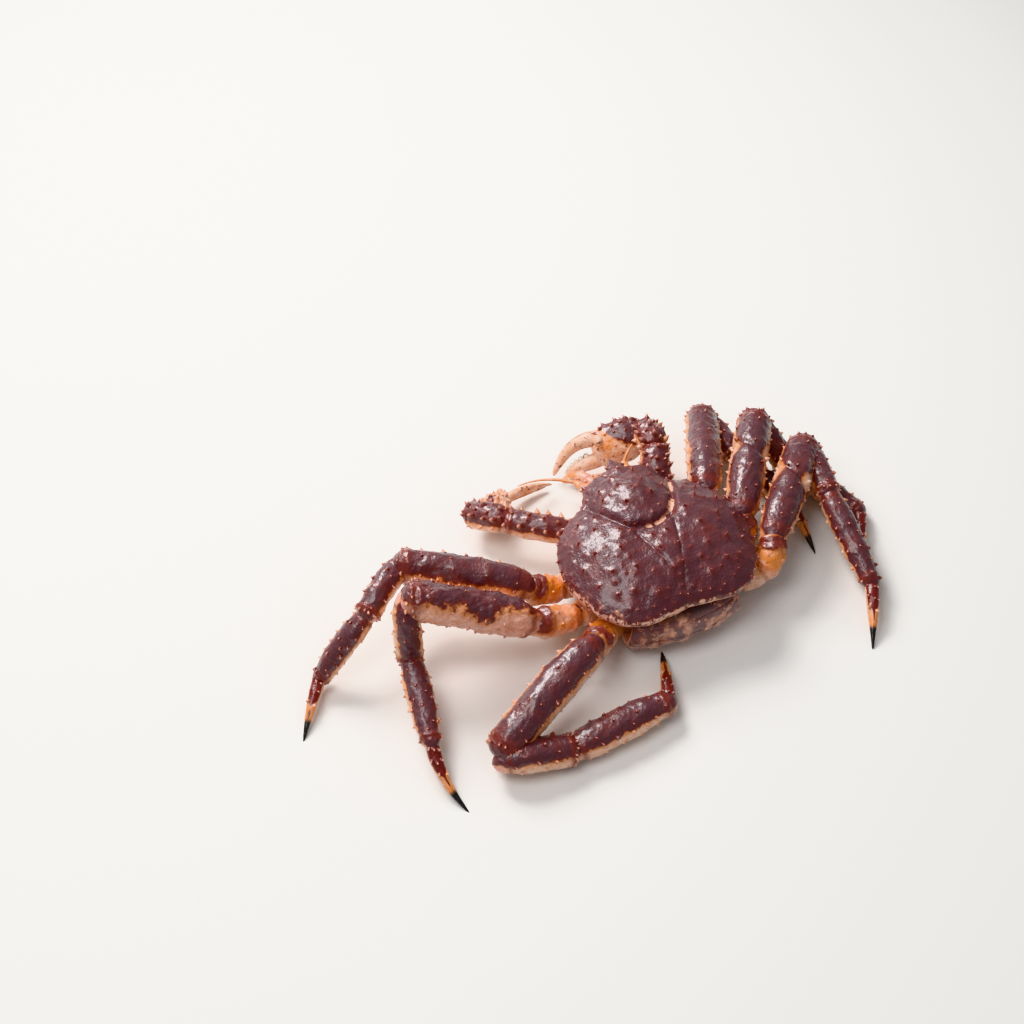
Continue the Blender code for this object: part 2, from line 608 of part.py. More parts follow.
def largest_shell(mesh):
    """Keep only the connected surface that encloses the most."""
    work = bmesh.new()
    work.from_mesh(mesh)
    bmesh.ops.triangulate(work, faces=work.faces)
    waiting = set(work.faces)
    shells = []
    while waiting:
        shell, front = [], [waiting.pop()]
        while front:
            face = front.pop()
            shell.append(face)
            near = {other for edge in face.edges for other in edge.link_faces if other in waiting}
            waiting -= near
            front += near
        volume = 0.0
        for face in shell:
            a, b, c = (vert.co for vert in face.verts)
            volume += a.dot(b.cross(c)) / 6
        shells.append((abs(volume), shell))
    keep = set(max(shells, key=lambda entry: entry[0])[1])
    dropped = [face for face in work.faces if face not in keep]
    bmesh.ops.delete(work, geom=dropped, context="FACES")
    work.to_mesh(mesh)
    work.free()


def apply_boolean(target, operation, tool=None, collection=None):
    """Apply one Boolean with the EXACT solver, or with MANIFOLD where that leaves a gap."""
    start = target.data.copy()
    for solver in ("EXACT", "MANIFOLD"):
        change = target.modifiers.new("join", "BOOLEAN")
        change.operation = operation
        change.solver = solver
        if collection:
            change.operand_type = "COLLECTION"
            change.collection = collection
        else:
            change.object = tool
        bpy.context.view_layer.update()
        seen = target.evaluated_get(bpy.context.evaluated_depsgraph_get())
        result = bpy.data.meshes.new_from_object(seen)
        target.modifiers.remove(change)
        if is_closed(result):
            target.data = result
            break
        target.data = start
    largest_shell(target.data)


def fuse(target, parts):
    """Join closed meshes to the target by one union."""
    if not parts:
        return
    group = bpy.data.collections.new("parts")
    bpy.context.scene.collection.children.link(group)
    for points, faces in parts:
        group.objects.link(bpy.data.objects.new("part", new_mesh("part", points, faces)))
    apply_boolean(target, "UNION", collection=group)
    for made in list(group.objects):
        bpy.data.objects.remove(made)
    bpy.data.collections.remove(group)


def carve(target, neighbour):
    """Cut the target clear of a neighbour, GAP away from it, so that they meet face to face."""
    tool = new_object("tool", neighbour.data.copy())
    work = bmesh.new()
    work.from_mesh(tool.data)
    work.normal_update()
    places = [vert.co + vert.normal * GAP * MM * 1.15 for vert in work.verts]
    for vert, place in zip(work.verts, places):
        vert.co = place
    work.to_mesh(tool.data)
    work.free()
    apply_boolean(target, "DIFFERENCE", tool=tool)
    bpy.data.objects.remove(tool)


def level_floor(target):
    """Cut off what lies below the floor, which leaves the flats that the model rests on."""
    if min(vert.co.z for vert in target.data.vertices) >= 0:
        return
    size = 600
    square = ((-size, -size), (size, -size), (size, size), (-size, size))
    corners = [(x, y, z) for z in (-80, 0) for x, y in square]
    faces = [(3, 2, 1, 0), (4, 5, 6, 7), (0, 1, 5, 4), (1, 2, 6, 5), (2, 3, 7, 6), (3, 0, 4, 7)]
    tool = new_object("floor", new_mesh("floor", corners, faces))
    apply_boolean(target, "DIFFERENCE", tool=tool)
    bpy.data.objects.remove(tool)


def paint(name, colour, roughness):
    """A Principled material with the piece's colour."""
    coat = bpy.data.materials.new(name)
    coat.use_nodes = True
    shader = coat.node_tree.nodes["Principled BSDF"]
    shader.inputs["Base Color"].default_value = (*colour, 1)
    shader.inputs["Roughness"].default_value = roughness
    shader.inputs["Metallic"].default_value = 0
    return coat


def surface_tree(mesh):
    """A search tree of a mesh's faces, for the nearest point on it."""
    places = [vert.co for vert in mesh.vertices]
    return BVHTree.FromPolygons(places, [tuple(face.vertices) for face in mesh.polygons])


def clear_spines(piece, trees):
    """The spines of a piece whose tips and middles stay clear of every other piece."""
    kept = []
    for root, direction, length, radius in piece.spines:
        direction = unit(direction)
        free = True
        for share in (0.5, 1.0):
            spot = Vector((np.asarray(root) + direction * length * share) * MM)
            for name, tree in trees.items():
                if name == piece.name:
                    continue
                near, normal, _, distance = tree.find_nearest(spot)
                if distance < SPINE_CLEARANCE * MM or (spot - near).dot(normal) < 0:
                    free = False
        if free:
            kept.append(cone(root, direction, length, radius, piece.spine_sides))
    return kept


def joint_cuts():
    """Which piece is cut to fit which neighbours, in order."""
    cuts = []
    for side in ("l", "r"):
        cuts.append(("leg_" + side + "1_base", ("claw_" + side + "_base", "claw_" + side + "_merus")))
        cuts.append(("leg_" + side + "2_base", ("leg_" + side + "1_base",)))
        cuts.append(("leg_" + side + "3_base", ("leg_" + side + "2_base",)))
    for name in LEGS:
        cuts.append((name + "_base", (name + "_merus", "thorax", "carapace")))
        cuts.append((name + "_merus", (name + "_carpus", "carapace")))
        cuts.append((name + "_carpus", (name + "_propodus",)))
        cuts.append((name + "_propodus", (name + "_dactyl",)))
    cuts.append(("leg_r2_carpus", ("leg_r3_merus",)))
    for name in CLAWS:
        cuts.append((name + "_base", (name + "_merus", "thorax", "carapace")))
        cuts.append((name + "_merus", (name + "_carpus", "thorax", "carapace")))
        cuts.append((name + "_carpus", (name + "_palm",)))
        cuts.append((name + "_palm", (name + "_finger",)))
    for side in ("l", "r"):
        cuts.append(("eye_" + side, ("carapace",)))
        cuts.append(("antenna_" + side, ("carapace",)))
        cuts.append(("maxilliped_" + side, ("thorax", "carapace")))
    cuts.append(("abdomen_rear", ("thorax", "carapace")))
    cuts.append(("abdomen_flap", ("thorax",)))
    return cuts


def all_pieces():
    pieces = [carapace(), trunk(), *abdomen(), eye("l", 1), eye("r", -1)]
    for name, spots in ANTENNAE.items():
        pieces.append(antenna(name, *spots))
    for name, spots in MOUTH_LEGS.items():
        pieces.append(mouth_leg(name, *spots))
    for name, (root, knuckle, hip, turns) in LEGS.items():
        pieces += leg(name, root, knuckle, hip, turns)
    for name, spots in CLAWS.items():
        pieces += claw(name, spots)
    return pieces


def main():
    for old in list(bpy.data.objects):
        bpy.data.objects.remove(old)
    pieces = all_pieces()
    made = {}
    trees = {}
    for piece in pieces:
        node = new_object(piece.name, new_mesh(piece.name, *piece.bodies[0]))
        trees[piece.name] = surface_tree(node.data)
        made[piece.name] = node
    paints = {}
    for piece in pieces:
        fuse(made[piece.name], piece.bodies[1:] + clear_spines(piece, trees))
        if piece.paint[0] not in paints:
            paints[piece.paint[0]] = paint(*piece.paint)
    for name, neighbours in joint_cuts():
        for neighbour in neighbours:
            carve(made[name], made[neighbour])
    for piece in pieces:
        node = made[piece.name]
        level_floor(node)
        node.data.materials.clear()
        node.data.materials.append(paints[piece.paint[0]])
        node.data.shade_smooth()
        node.data.set_sharp_from_angle(angle=math.radians(40))


main()
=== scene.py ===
import math

import bpy
import numpy as np
from bpy.props import FloatProperty, FloatVectorProperty, PointerProperty
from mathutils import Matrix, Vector


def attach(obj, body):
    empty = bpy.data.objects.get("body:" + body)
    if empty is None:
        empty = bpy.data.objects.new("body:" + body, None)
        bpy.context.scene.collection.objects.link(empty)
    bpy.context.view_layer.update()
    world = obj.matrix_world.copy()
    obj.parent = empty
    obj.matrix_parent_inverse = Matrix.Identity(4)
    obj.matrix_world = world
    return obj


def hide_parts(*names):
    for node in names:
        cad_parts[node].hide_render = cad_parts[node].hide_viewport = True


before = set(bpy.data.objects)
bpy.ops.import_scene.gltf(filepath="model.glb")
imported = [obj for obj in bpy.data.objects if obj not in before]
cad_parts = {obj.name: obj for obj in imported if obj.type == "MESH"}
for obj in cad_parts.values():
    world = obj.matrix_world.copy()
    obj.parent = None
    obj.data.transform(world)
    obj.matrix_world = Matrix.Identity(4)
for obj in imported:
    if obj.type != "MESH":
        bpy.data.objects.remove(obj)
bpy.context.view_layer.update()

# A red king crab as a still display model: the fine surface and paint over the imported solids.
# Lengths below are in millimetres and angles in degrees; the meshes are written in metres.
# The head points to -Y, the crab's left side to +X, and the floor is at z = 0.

bl_info = {
    "name": "Red king crab",
    "version": (1, 0, 0),
    "blender": (4, 5, 0),
    "location": "View3D > Sidebar > Crab",
    "description": "Builds the shell, spines and paint of a life-size red king crab",
    "category": "Add Mesh",
}

MM = 0.001
TURN = 2 * math.pi

# The carapace.
HALF_OUTLINE = (
    (0, -83), (12, -82), (24, -77), (33, -70), (38, -60), (42, -51), (50, -46), (66, -37),
    (81, -24), (91, -6), (95, 16), (90, 42), (80, 68), (65, 86), (46, 93), (24, 91), (0, 88),
)
OUTLINE_CENTRE = (0, 6)
MARGIN_HEIGHT = 57
MARGIN_RISE_FRONT = 8
MARGIN_RISE_REAR = 4
BACK_HEIGHT = 87
UNDERSIDE_HEIGHT = 42
WALL_INSET = 0.94
REAR_INSET = 0.76
SWELLINGS = ((0, -40, 21, 30, 11), (50, 22, 26, 36, 6), (-50, 22, 26, 36, 6), (0, 44, 15, 24, 5))
GROOVES = (
    (((44, -44), (33, -18), (22, 1), (0, 8)), 6.0, 4.0),
    (((20, 12), (0, 76)), 1.5, 2.2),
)
# The peak at the front: its root and tip, half width and half height, and its taper.
ROSTRUM = ((0, -50, 74), (0, -88, 75))
ROSTRUM_HALF = (17, 12)
ROSTRUM_SHAPE = ((0, 0), (0.02, 1), (0.4, 0.74), (0.7, 0.42), (0.92, 0.12), (1, 0))
ROSTRUM_ROWS = ((75, 2, 4.0, 0.45, 0.7), (-75, 2, 4.0, 0.45, 0.7), (0, 1, 3.0, 0.5, 0.5))
# Spots of the large spines on one half of the back: across, rearward, length.
BACK_SPINES = (
    (10, -58, 5.0), (12, -42, 5.0), (13, -24, 5.0), (28, -36, 5.0), (26, -52, 5.0), (3, -33, 3.0),
    (7, 22, 4.6), (9, 38, 4.6), (6, 56, 4.6), (34, 2, 4.4), (52, -8, 4.4), (70, -2, 4.4),
    (42, 22, 4.4), (62, 18, 4.4), (78, 22, 4.4), (36, 44, 4.4), (56, 42, 4.4), (74, 46, 4.4),
    (46, 66, 4.4), (28, 72, 4.4), (60, -24, 3.6), (46, -24, 3.4), (24, 56, 3.0), (62, 62, 3.6),
)
# Spines along one half of the margin: direction in degrees, length.
MARGIN_SPINES = (
    (-66, 7), (-59, 3.4), (-52, 5), (-45, 3.4), (-38, 6.6), (-30, 5), (-24, 3), (-18, 4.2),
    (-12, 2.8), (-6, 3.8), (1, 2.6), (8, 3.4), (15, 2.4), (22, 3.4), (29, 2.4), (36, 3.6),
    (43, 2.4), (50, 3.6), (57, 2.4), (64, 3), (78, 3),
)

# Knobs between the spines of the back: tries, distance apart, and how much closer near the margin.
KNOB_TRIES = 420
KNOB_SPACING = 8.2
CLOSER_AT_MARGIN = 2.4

# The trunk and the abdomen under it.
TRUNK_HALF_PLAN = ((20, -62), (44, -48), (58, -20), (62, 12), (57, 44), (40, 66))
TRUNK_CENTRE = (0, 2)
TRUNK_FLOOR = 12
TRUNK_TOP = UNDERSIDE_HEIGHT - 0.3
# The trunk's side, from its floor to its top: share of the plan's reach, height.
TRUNK_SIDE = (
    (0, TRUNK_FLOOR), (0.4, TRUNK_FLOOR), (0.8, TRUNK_FLOOR), (0.95, TRUNK_FLOOR + 3),
    (1.0, TRUNK_FLOOR + 9), (1.0, UNDERSIDE_HEIGHT - 6), (0.98, TRUNK_TOP), (0.5, TRUNK_TOP), (0, TRUNK_TOP),
)
TRUNK_FURROWS = (-32, 2, 32, 148, 178, -148)
ABDOMEN_PATH = (
    (80, 51), (90, 43), (93, 31), (89, 17), (74, 8), (50, 5.6), (15, 5.6), (-20, 5.8), (-36, 6.4),
)
ABDOMEN_HALF_WIDTHS = (46, 53, 57, 58, 55, 50, 43, 28, 12)
ABDOMEN_HALF_THICKNESSES = (2.5, 5, 6.2, 6.6, 6.4, 6, 6, 5.8, 4)
ABDOMEN_CURL = 9
ABDOMEN_FURROWS = (1.15, 2.15, 3.1, 4.0, 5.0, 6.0, 7.0)
ABDOMEN_GRAINS = 150

# Size of the shell along each kind of segment: place from joint to joint, share of full size.
BASE_SHAPE = (
    (-0.12, 0), (-0.1, 0.7), (0.12, 0.86), (0.36, 0.94), (0.52, 0.84), (0.7, 0.94), (0.92, 0.98),
    (1.03, 0.76), (1.08, 0),
)
MERUS_SHAPE = (
    (-0.05, 0), (-0.02, 0.5), (0.04, 0.76), (0.16, 0.92), (0.38, 1), (0.66, 0.99), (0.88, 0.96),
    (0.98, 0.86), (1.03, 0.55), (1.05, 0),
)
CARPUS_SHAPE = (
    (-0.16, 0), (-0.08, 0.55), (0.08, 0.84), (0.35, 1), (0.7, 1), (0.94, 0.92), (1.08, 0.66),
    (1.13, 0),
)
PROPODUS_SHAPE = (
    (-0.09, 0), (-0.04, 0.55), (0.08, 0.84), (0.3, 1), (0.6, 0.97), (0.85, 0.83), (0.98, 0.72),
    (1.05, 0.45), (1.08, 0),
)
DACTYL_SHAPE = (
    (-0.07, 0), (-0.03, 0.75), (0.1, 1), (0.35, 0.86), (0.62, 0.6), (0.85, 0.32), (0.985, 0.1),
    (1, 0),
)
PALM_SHAPE = (
    (-0.12, 0), (-0.04, 0.5), (0.14, 0.8), (0.45, 1), (0.8, 0.98), (1.0, 0.8), (1.12, 0.5),
    (1.16, 0),
)
FINGER_SHAPE = (
    (-0.16, 0), (-0.08, 0.8), (0.1, 1), (0.4, 0.84), (0.7, 0.62), (0.92, 0.36), (0.99, 0.16),
    (1, 0),
)

# Walking legs by pair: merus, carpus, propodus and dactyl.
LEG_LENGTHS = {1: (126, 56, 78, 61), 2: (126, 60, 88, 69), 3: (134, 64, 101, 66)}
LEG_HALF_WIDTHS = {1: (17.5, 12.5, 11.5, 6.2), 2: (18.5, 13, 12.5, 6.6), 3: (18, 15.5, 15.5, 6.8)}
LEG_HALF_HEIGHTS = {1: (19, 13, 12, 6), 2: (20.5, 13.5, 13, 6.4), 3: (19, 15.5, 15, 6.6)}
# How thick the carpus and propodus of a thin leg are, as a share of the pair's.
SLIM_LEGS = {"leg_r3": 0.84}
# Root, knuckle and hip of each leg, then azimuth and elevation of its four segments.
LEGS = {
    "leg_l1": ((54, -12, 25), (92, 4, 28), (124, 6, 49), ((-27, 11), (39, -9), (16, -41), (56, -13))),
    "leg_l2": ((56, 20, 25), (90, 38, 28), (135, 42, 46), ((-20, 22), (71, -66), (82, -8), (99, -23))),
    "leg_l3": ((50, 46, 25), (73, 66, 31), (93, 84, 47), ((26, -10), (171, -6), (-174.5, 1), (-112, -14))),
    "leg_r1": ((-54, -14, 25), (-72, -16, 27), (-79, -31, 50), ((-117, -12), (102, -8), (106, -2), (88, -11))),
    "leg_r2": ((-56, 16, 25), (-86, 26, 29), (-95, 11, 53), ((-125, 1), (117, -42), (117, -2), (62, -6))),
    "leg_r3": ((-50, 44, 25), (-90, 64, 33), (-110, 46, 52), ((-134, -3.5), (81, 0), (88, -15), (62, -15.5))),
}
BASE_HALF_WIDTH = 14.5
BASE_HALF_HEIGHT = 14
KNEE_STEPS = {"leg_l3": (1, 8, -3)}
DACTYL_BEND = (0, 0, 4)
DACTYL_BENDS = {"leg_l2": (5, -2, 0)}

# Claws: base start, base end, far ends of merus and carpus, and the hinge end of the palm.
CLAWS = {
    "claw_r": ((-24, -38, 27), (-37, -50, 32), (-57, -99, 54), (-60, -126, 50), (-14, -134, 32)),
    "claw_l": ((36, -36, 27), (52, -44, 32), (110, -84, 35), (136, -113, 25), (97, -121, 22)),
}
CLAW_HALF_WIDTHS = {"claw_r": (12, 15, 15, 14), "claw_l": (11, 13, 14.5, 10)}
CLAW_HALF_HEIGHTS = {"claw_r": (12, 16, 15.5, 22), "claw_l": (11, 13.5, 14.5, 12)}
PALM_UPPER_EDGE = {"claw_r": (-0.26, -0.65, 0.70), "claw_l": (0, 0.3, 0.95)}
FINGER_HALF = {"claw_r": 8.5, "claw_l": 5.2}
MOVABLE_FINGERS = {
    "claw_r": ((-15, -142, 42), (12, -147, 34), (35, -139, 9)),
    "claw_l": ((95, -118, 27), (68, -124, 23), (42, -127, 12)),
}
FIXED_FINGERS = {
    "claw_r": ((-14, -129, 24), (10, -131, 20), (24, -132, 9)),
    "claw_l": ((97, -124, 16), (68, -131, 9), (45, -132, 6)),
}
MOLARS = 6
MOLAR_RADIUS = 3.4
MOLAR_START = 0.26
MOLAR_STEP = 0.12
# Knob by the hinge of a palm: place, degrees round, and radius as a share of the finger's half width.
HINGE_KNOB = (0.93, -58, 0.62)
# How far the dark shell of a palm reaches round from its upper edge: place, degrees.
PALM_DARK = {
    "claw_r": ((-0.12, 90), (0.15, 118), (0.4, 98), (0.6, 68), (0.78, 36), (1.0, 12), (1.16, 0)),
    "claw_l": ((-0.12, 30), (0.5, 24), (1.16, 0)),
}

# Eyes: where the stalk starts and where the eye sits, on the left side, and their radii.
EYE_ROOT = (9, -68, 53)
EYE_PLACE = (10, -84, 55)
STALK_RADIUS = 2.8
EYE_RADIUS = 3.7
STALK_SHAPE = ((0, 0), (0.01, 1), (0.6, 0.8), (0.95, 0.8), (1, 0))
# Antennae: root, elbow, middle of the lash and its tip; mouthparts: root, bend and end.
ANTENNAE = {
    "antenna_l": ((22, -66, 55), (33, -92, 50), (58, -112, 44), (84, -122, 34)),
    "antenna_r": ((-20, -66, 54), (-18, -90, 60), (-25, -96, 66), (-34, -104, 66)),
}
STEM_HALF = (5.2, 4.6)
STEM_SHAPE = ((0, 0), (0.01, 1), (0.35, 0.85), (0.45, 0.95), (0.8, 0.7), (1.0, 0.55), (1.08, 0))
STEM_ROWS = ((70, 1, 5.0, 0.5, 0.5), (-70, 1, 4.0, 0.5, 0.5))
LASH_HALF = 1.7
LASH_SHAPE = (
    (-0.04, 0), (-0.02, 1), (0.12, 0.95), (0.28, 0.85), (0.44, 0.75), (0.6, 0.62), (0.76, 0.5),
    (0.9, 0.4), (1, 0),
)
MOUTH_LEGS = {
    "maxilliped_l": ((13, -58, 32), (15, -98, 38), (34, -118, 23)),
    "maxilliped_r": ((-9, -58, 30), (-8, -88, 32), (2, -112, 20)),
}
MOUTH_LEG_HALF = (6, 7)
MOUTH_LEG_SHAPE = (
    (-0.1, 0), (-0.08, 0.8), (0.2, 1), (0.48, 0.8), (0.56, 0.95), (0.85, 0.75), (0.98, 0.5),
    (1.02, 0),
)

# Rows of spines: angle from the upper side, count, length, start and end of the row.
MERUS_ROWS = (
    (64, 7, 2.8, 0.1, 0.96), (-64, 7, 2.8, 0.14, 0.96), (6, 4, 1.9, 0.14, 0.86),
    (36, 4, 1.5, 0.2, 0.92), (-32, 4, 1.5, 0.14, 0.84), (95, 7, 2.4, 0.12, 0.95),
    (-95, 7, 2.4, 0.1, 0.95), (135, 4, 1.8, 0.2, 0.9), (-135, 4, 1.8, 0.2, 0.9),
)
CARPUS_ROWS = (
    (58, 4, 3.0, 0.15, 0.95), (-56, 4, 3.0, 0.2, 0.98), (4, 3, 2.2, 0.25, 0.9),
    (30, 2, 1.6, 0.3, 0.75), (-26, 2, 1.6, 0.35, 0.9), (90, 3, 2.2, 0.2, 0.9),
    (-90, 3, 2.2, 0.2, 0.9),
)
PROPODUS_ROWS = (
    (62, 7, 2.5, 0.1, 0.94), (-60, 7, 2.5, 0.12, 0.96), (4, 4, 1.8, 0.15, 0.9),
    (34, 3, 1.4, 0.2, 0.9), (-28, 3, 1.4, 0.14, 0.8), (95, 6, 2.2, 0.1, 0.95),
    (-95, 6, 2.2, 0.1, 0.95),
)
# Blunt spines round the far rim of a segment.
RIM_ROWS = tuple((angle, 1, 2.7, 0.985, 0.985) for angle in range(-140, 160, 28))
DACTYL_ROWS = ((40, 3, 2.6, 0.06, 0.42), (-40, 3, 2.6, 0.1, 0.46), (0, 2, 2.0, 0.12, 0.3))
BASE_ROWS = (
    (120, 1, 7.0, 0.86, 0.86), (50, 2, 4.0, 0.3, 0.75), (0, 2, 3.0, 0.3, 0.8), (-50, 2, 3.0, 0.3, 0.8),
)
CLAW_MERUS_ROWS = (
    (50, 5, 5.4, 0.25, 0.97), (-50, 5, 5.4, 0.25, 0.98), (0, 4, 4.6, 0.3, 0.9), (25, 4, 2.6, 0.2, 0.95),
    (-25, 4, 2.6, 0.2, 0.95), (90, 4, 3.0, 0.2, 0.95), (-90, 4, 3.0, 0.2, 0.95),
)
CLAW_CARPUS_ROWS = (
    (60, 4, 5.4, 0.15, 0.95), (-50, 4, 5.4, 0.2, 1.0), (5, 3, 5.0, 0.2, 0.9), (30, 4, 3.0, 0.1, 1.0),
    (-25, 4, 3.0, 0.1, 1.0), (95, 3, 3.6, 0.2, 0.9), (-85, 3, 3.6, 0.2, 0.9),
)
PALM_ROWS = (
    (28, 5, 5.0, 0.12, 0.95), (-28, 5, 4.6, 0.15, 1.0), (0, 4, 4.2, 0.25, 0.95), (55, 5, 2.6, 0.1, 1.0),
    (-55, 5, 2.6, 0.1, 1.0), (85, 4, 1.8, 0.2, 0.9), (-85, 4, 1.8, 0.2, 0.9),
)
MOUTH_ROWS = ((70, 4, 3.0, 0.3, 0.85), (-70, 4, 3.0, 0.3, 0.85))
SEGMENT_ROWS = (
    ("merus", MERUS_ROWS + RIM_ROWS), ("carpus", CARPUS_ROWS + RIM_ROWS), ("propodus", PROPODUS_ROWS),
)
CLAW_SEGMENT_ROWS = (("merus", CLAW_MERUS_ROWS), ("carpus", CLAW_CARPUS_ROWS))
# How far a spine leans to the far joint, how high its root sits and how much wider it is there.
SPINE_LEAN = 0.35
ROOT_LIFT = 0.3
ROOT_FLARE = 0.35
# Rings round a segment: place and height.
BASE_COLLARS = ((0.3, 1.4), (0.52, -2.0), (0.62, 1.3), (0.9, 1.2), (0.97, -1.0))

# The side of a segment that is dark, and how far round it the dark shell reaches, in degrees.
DARK_SIDE = (0.1, 0.2, 1)
DARK_REACH = 62
DARK_SIDES = {
    "leg_l2_merus": (0.0, -0.25, 1), "leg_l2_carpus": (0.1, 0.5, 0.8), "leg_l2_propodus": (0, 0.45, 0.9),
    "leg_l1_merus": (0.0, 0.0, 1), "leg_l3_propodus": (0, -0.05, 1), "leg_l3_carpus": (0, 0, 1),
}
DARK_REACHES = {
    "leg_l2_merus": ((0, 10), (0.2, 26), (0.3, 34), (0.42, 86), (0.56, 66), (0.66, 46), (0.85, 62), (1, 58)),
    "leg_l2_carpus": ((0, 52), (0.5, 48), (0.8, 40), (1, 46)),
    "leg_r2_merus": ((0, 60), (0.46, 66), (0.59, 42), (0.7, 64), (1, 62)),
    "leg_r3_merus": ((0, 60), (0.42, 68), (0.55, 40), (0.68, 66), (1, 64)),
    "leg_r3_propodus": 74,
}
# Shell of a segment: width in degrees of the border between dark and pale, pinkness and relief.
USUAL_SHELL = (52, 0.0, 1.0)
THIN_SHELL = {"leg_l2_merus": (96, 0.34, 2.0)}
# Creases across the long segments: place, slant and depth.
CREASES = {"leg_r2_merus": (0.59, 0.05, 2.4), "leg_r3_merus": (0.55, 0.06, 2.8)}
FAR_COLLAR = ((0.93, 0.8),)
# Half width along a segment of a ring, of a crease and of its smooth ends, as shares of its length.
COLLAR_SPREAD = 0.022
CREASE_SPREAD = 0.03
END_FADE = 0.06
# Uneven skin as random fields: size of the clumps, height and the field's own seed.
LIMB_SKIN = ((13, 1.0, 0), (5.5, 0.5, 3), (2.4, 0.3, 5))
BACK_SKIN = ((17, 0.9, 2), (6, 0.36, 5), (2.6, 0.17, 9))
ABDOMEN_SKIN = ((8, 0.6, 4), (3, 0.4, 7))
# Profile of a spine: height as a share of its length, radius as a share of its root radius.
SPINE_PROFILE = ((-0.5, 1.15), (0.0, 1.0), (0.28, 0.76), (0.58, 0.47), (0.84, 0.22), (0.96, 0.1))
SPINE_SIDES = 8
# Seeds of the random draws of the first leg and the first claw; each next one adds 10.
LEG_SEED = 20
CLAW_SEED = 90

# The paint: masks on the mesh, colours, settings, and scale and detail of its noises, broad to specks.
# The black mask holds the true black of the eyes and toe tips, and painted shadow at the root of the abdomen.
MASKS = ("pale", "warm", "pink", "ring", "halo", "tip", "black")
COLOURS = ("Dark", "Red", "Cream", "Orange", "Pink", "Tip")
SETTINGS = ("freckles", "mottle", "border")
PAINT_NOISE = ((50, 4), (170, 3), (620, 2), (210, 1))
PORE_SCALE = 420

# The stage, in metres: lights with their size and place, what they point at, and the floor.
KEY_LIGHT = (0.8, (0.35, -1.1, 1.15))
TOP_LIGHT = (0.9, (0.75, 0.1, 1.6))
LIGHT_AIM = (0.05, 0.0, 0.05)
FLOOR_REACH = 3


# Numbers and fields.

def unit(vectors):
    """Each vector divided by its length."""
    vectors = np.asarray(vectors, float)
    return vectors / np.maximum(np.linalg.norm(vectors, axis=-1, keepdims=True), 1e-12)


def heading(azimuth, elevation):
    """Unit vector (cos e cos a, cos e sin a, sin e)."""
    turn, rise = math.radians(azimuth), math.radians(elevation)
    return np.array((math.cos(rise) * math.cos(turn), math.cos(rise) * math.sin(turn), math.sin(rise)))


def bump(x, middle, spread):
    """exp(-((x - middle) / spread)^2)."""
    return np.exp(-((x - middle) / spread) ** 2)


def ramp(x, low, high):
    """3f^2 - 2f^3 with f from 0 at low to 1 at high."""
    f = np.clip((x - low) / (high - low), 0, 1)
    return f * f * (3 - 2 * f)


def smooth_through(places, values, x):
    """Cubic through stations; the slope at each is the harmonic mean of its two neighbours'."""
    places, values = np.asarray(places, float), np.asarray(values, float)
    step = np.diff(places)
    rise = np.diff(values) / step
    slope = np.zeros(len(places))
    same = rise[:-1] * rise[1:] > 0
    slope[1:-1][same] = 2 * rise[:-1][same] * rise[1:][same] / (rise[:-1] + rise[1:])[same]
    slope[0], slope[-1] = 2 * rise[0], 2 * rise[-1]
    k = np.clip(np.searchsorted(places, x) - 1, 0, len(step) - 1)
    f = (x - places[k]) / step[k]
    near = (1 + 2 * f) * (1 - f) ** 2 * values[k] + f * (1 - f) ** 2 * step[k] * slope[k]
    return near + f * f * (3 - 2 * f) * values[k + 1] + f * f * (f - 1) * step[k] * slope[k + 1]


def curve_through(stations, v):
    """Catmull-Rom curve: station k is reached at v = k, with slope (next - previous) / 2 there."""
    stations = np.asarray(stations, float)
    before, after = 2 * stations[:1] - stations[1:2], 2 * stations[-1:] - stations[-2:-1]
    padded = np.concatenate([before, stations, after])
    k = np.clip(np.floor(v).astype(int), 0, len(stations) - 2)
    f = (v - k).reshape(v.shape + (1,) * (stations.ndim - 1))
    a, b, c, d = (padded[k + shift] for shift in range(4))
    cubic = 1.5 * (b - c) + (d - a) / 2
    return b + f * (c - a) / 2 + f * f * (a - 2.5 * b + 2 * c - d / 2) + f ** 3 * cubic


def clumps(points, size, seed):
    """Random field from -1 to 1: values at the corners of a lattice size apart, blended smoothly."""
    place = points / size + 31.7 * seed
    cell = np.floor(place)
    f = place - cell
    f = f * f * (3 - 2 * f)
    cell = cell.astype(np.int64)
    field = np.zeros(points.shape[:-1])
    for corner in range(8):
        side = np.array((corner & 1, corner >> 1 & 1, corner >> 2 & 1))
        n = ((cell + side) * (73856093, 19349663, 83492791)).astype(np.int64)
        n = n[..., 0] ^ n[..., 1] ^ n[..., 2]
        n = (n * 1103515245 + 12345) & 0x7FFFFFFF
        n = ((n >> 13) ^ n) * 60493 & 0x7FFFFFFF
        field += np.prod(np.where(side, f, 1 - f), axis=-1) * (n / 0x3FFFFFFF - 1)
    return field


def uneven(points, skin, seed=0):
    """Sum of height times clumps over the fields of a skin."""
    return sum(height * clumps(points, size, seed + own) for size, height, own in skin)


# Shells: closed grids of points, with a pole at each end.

def grid_normals(points):
    """Outward unit normals of a grid: cross product of its differences both ways."""
    down = np.gradient(points, axis=0)
    across = np.roll(points, -1, axis=1) - np.roll(points, 1, axis=1)
    normals = unit(np.cross(down, across))
    away = points - points.mean(axis=1, keepdims=True)
    return normals * np.sign(np.sum(normals * away))


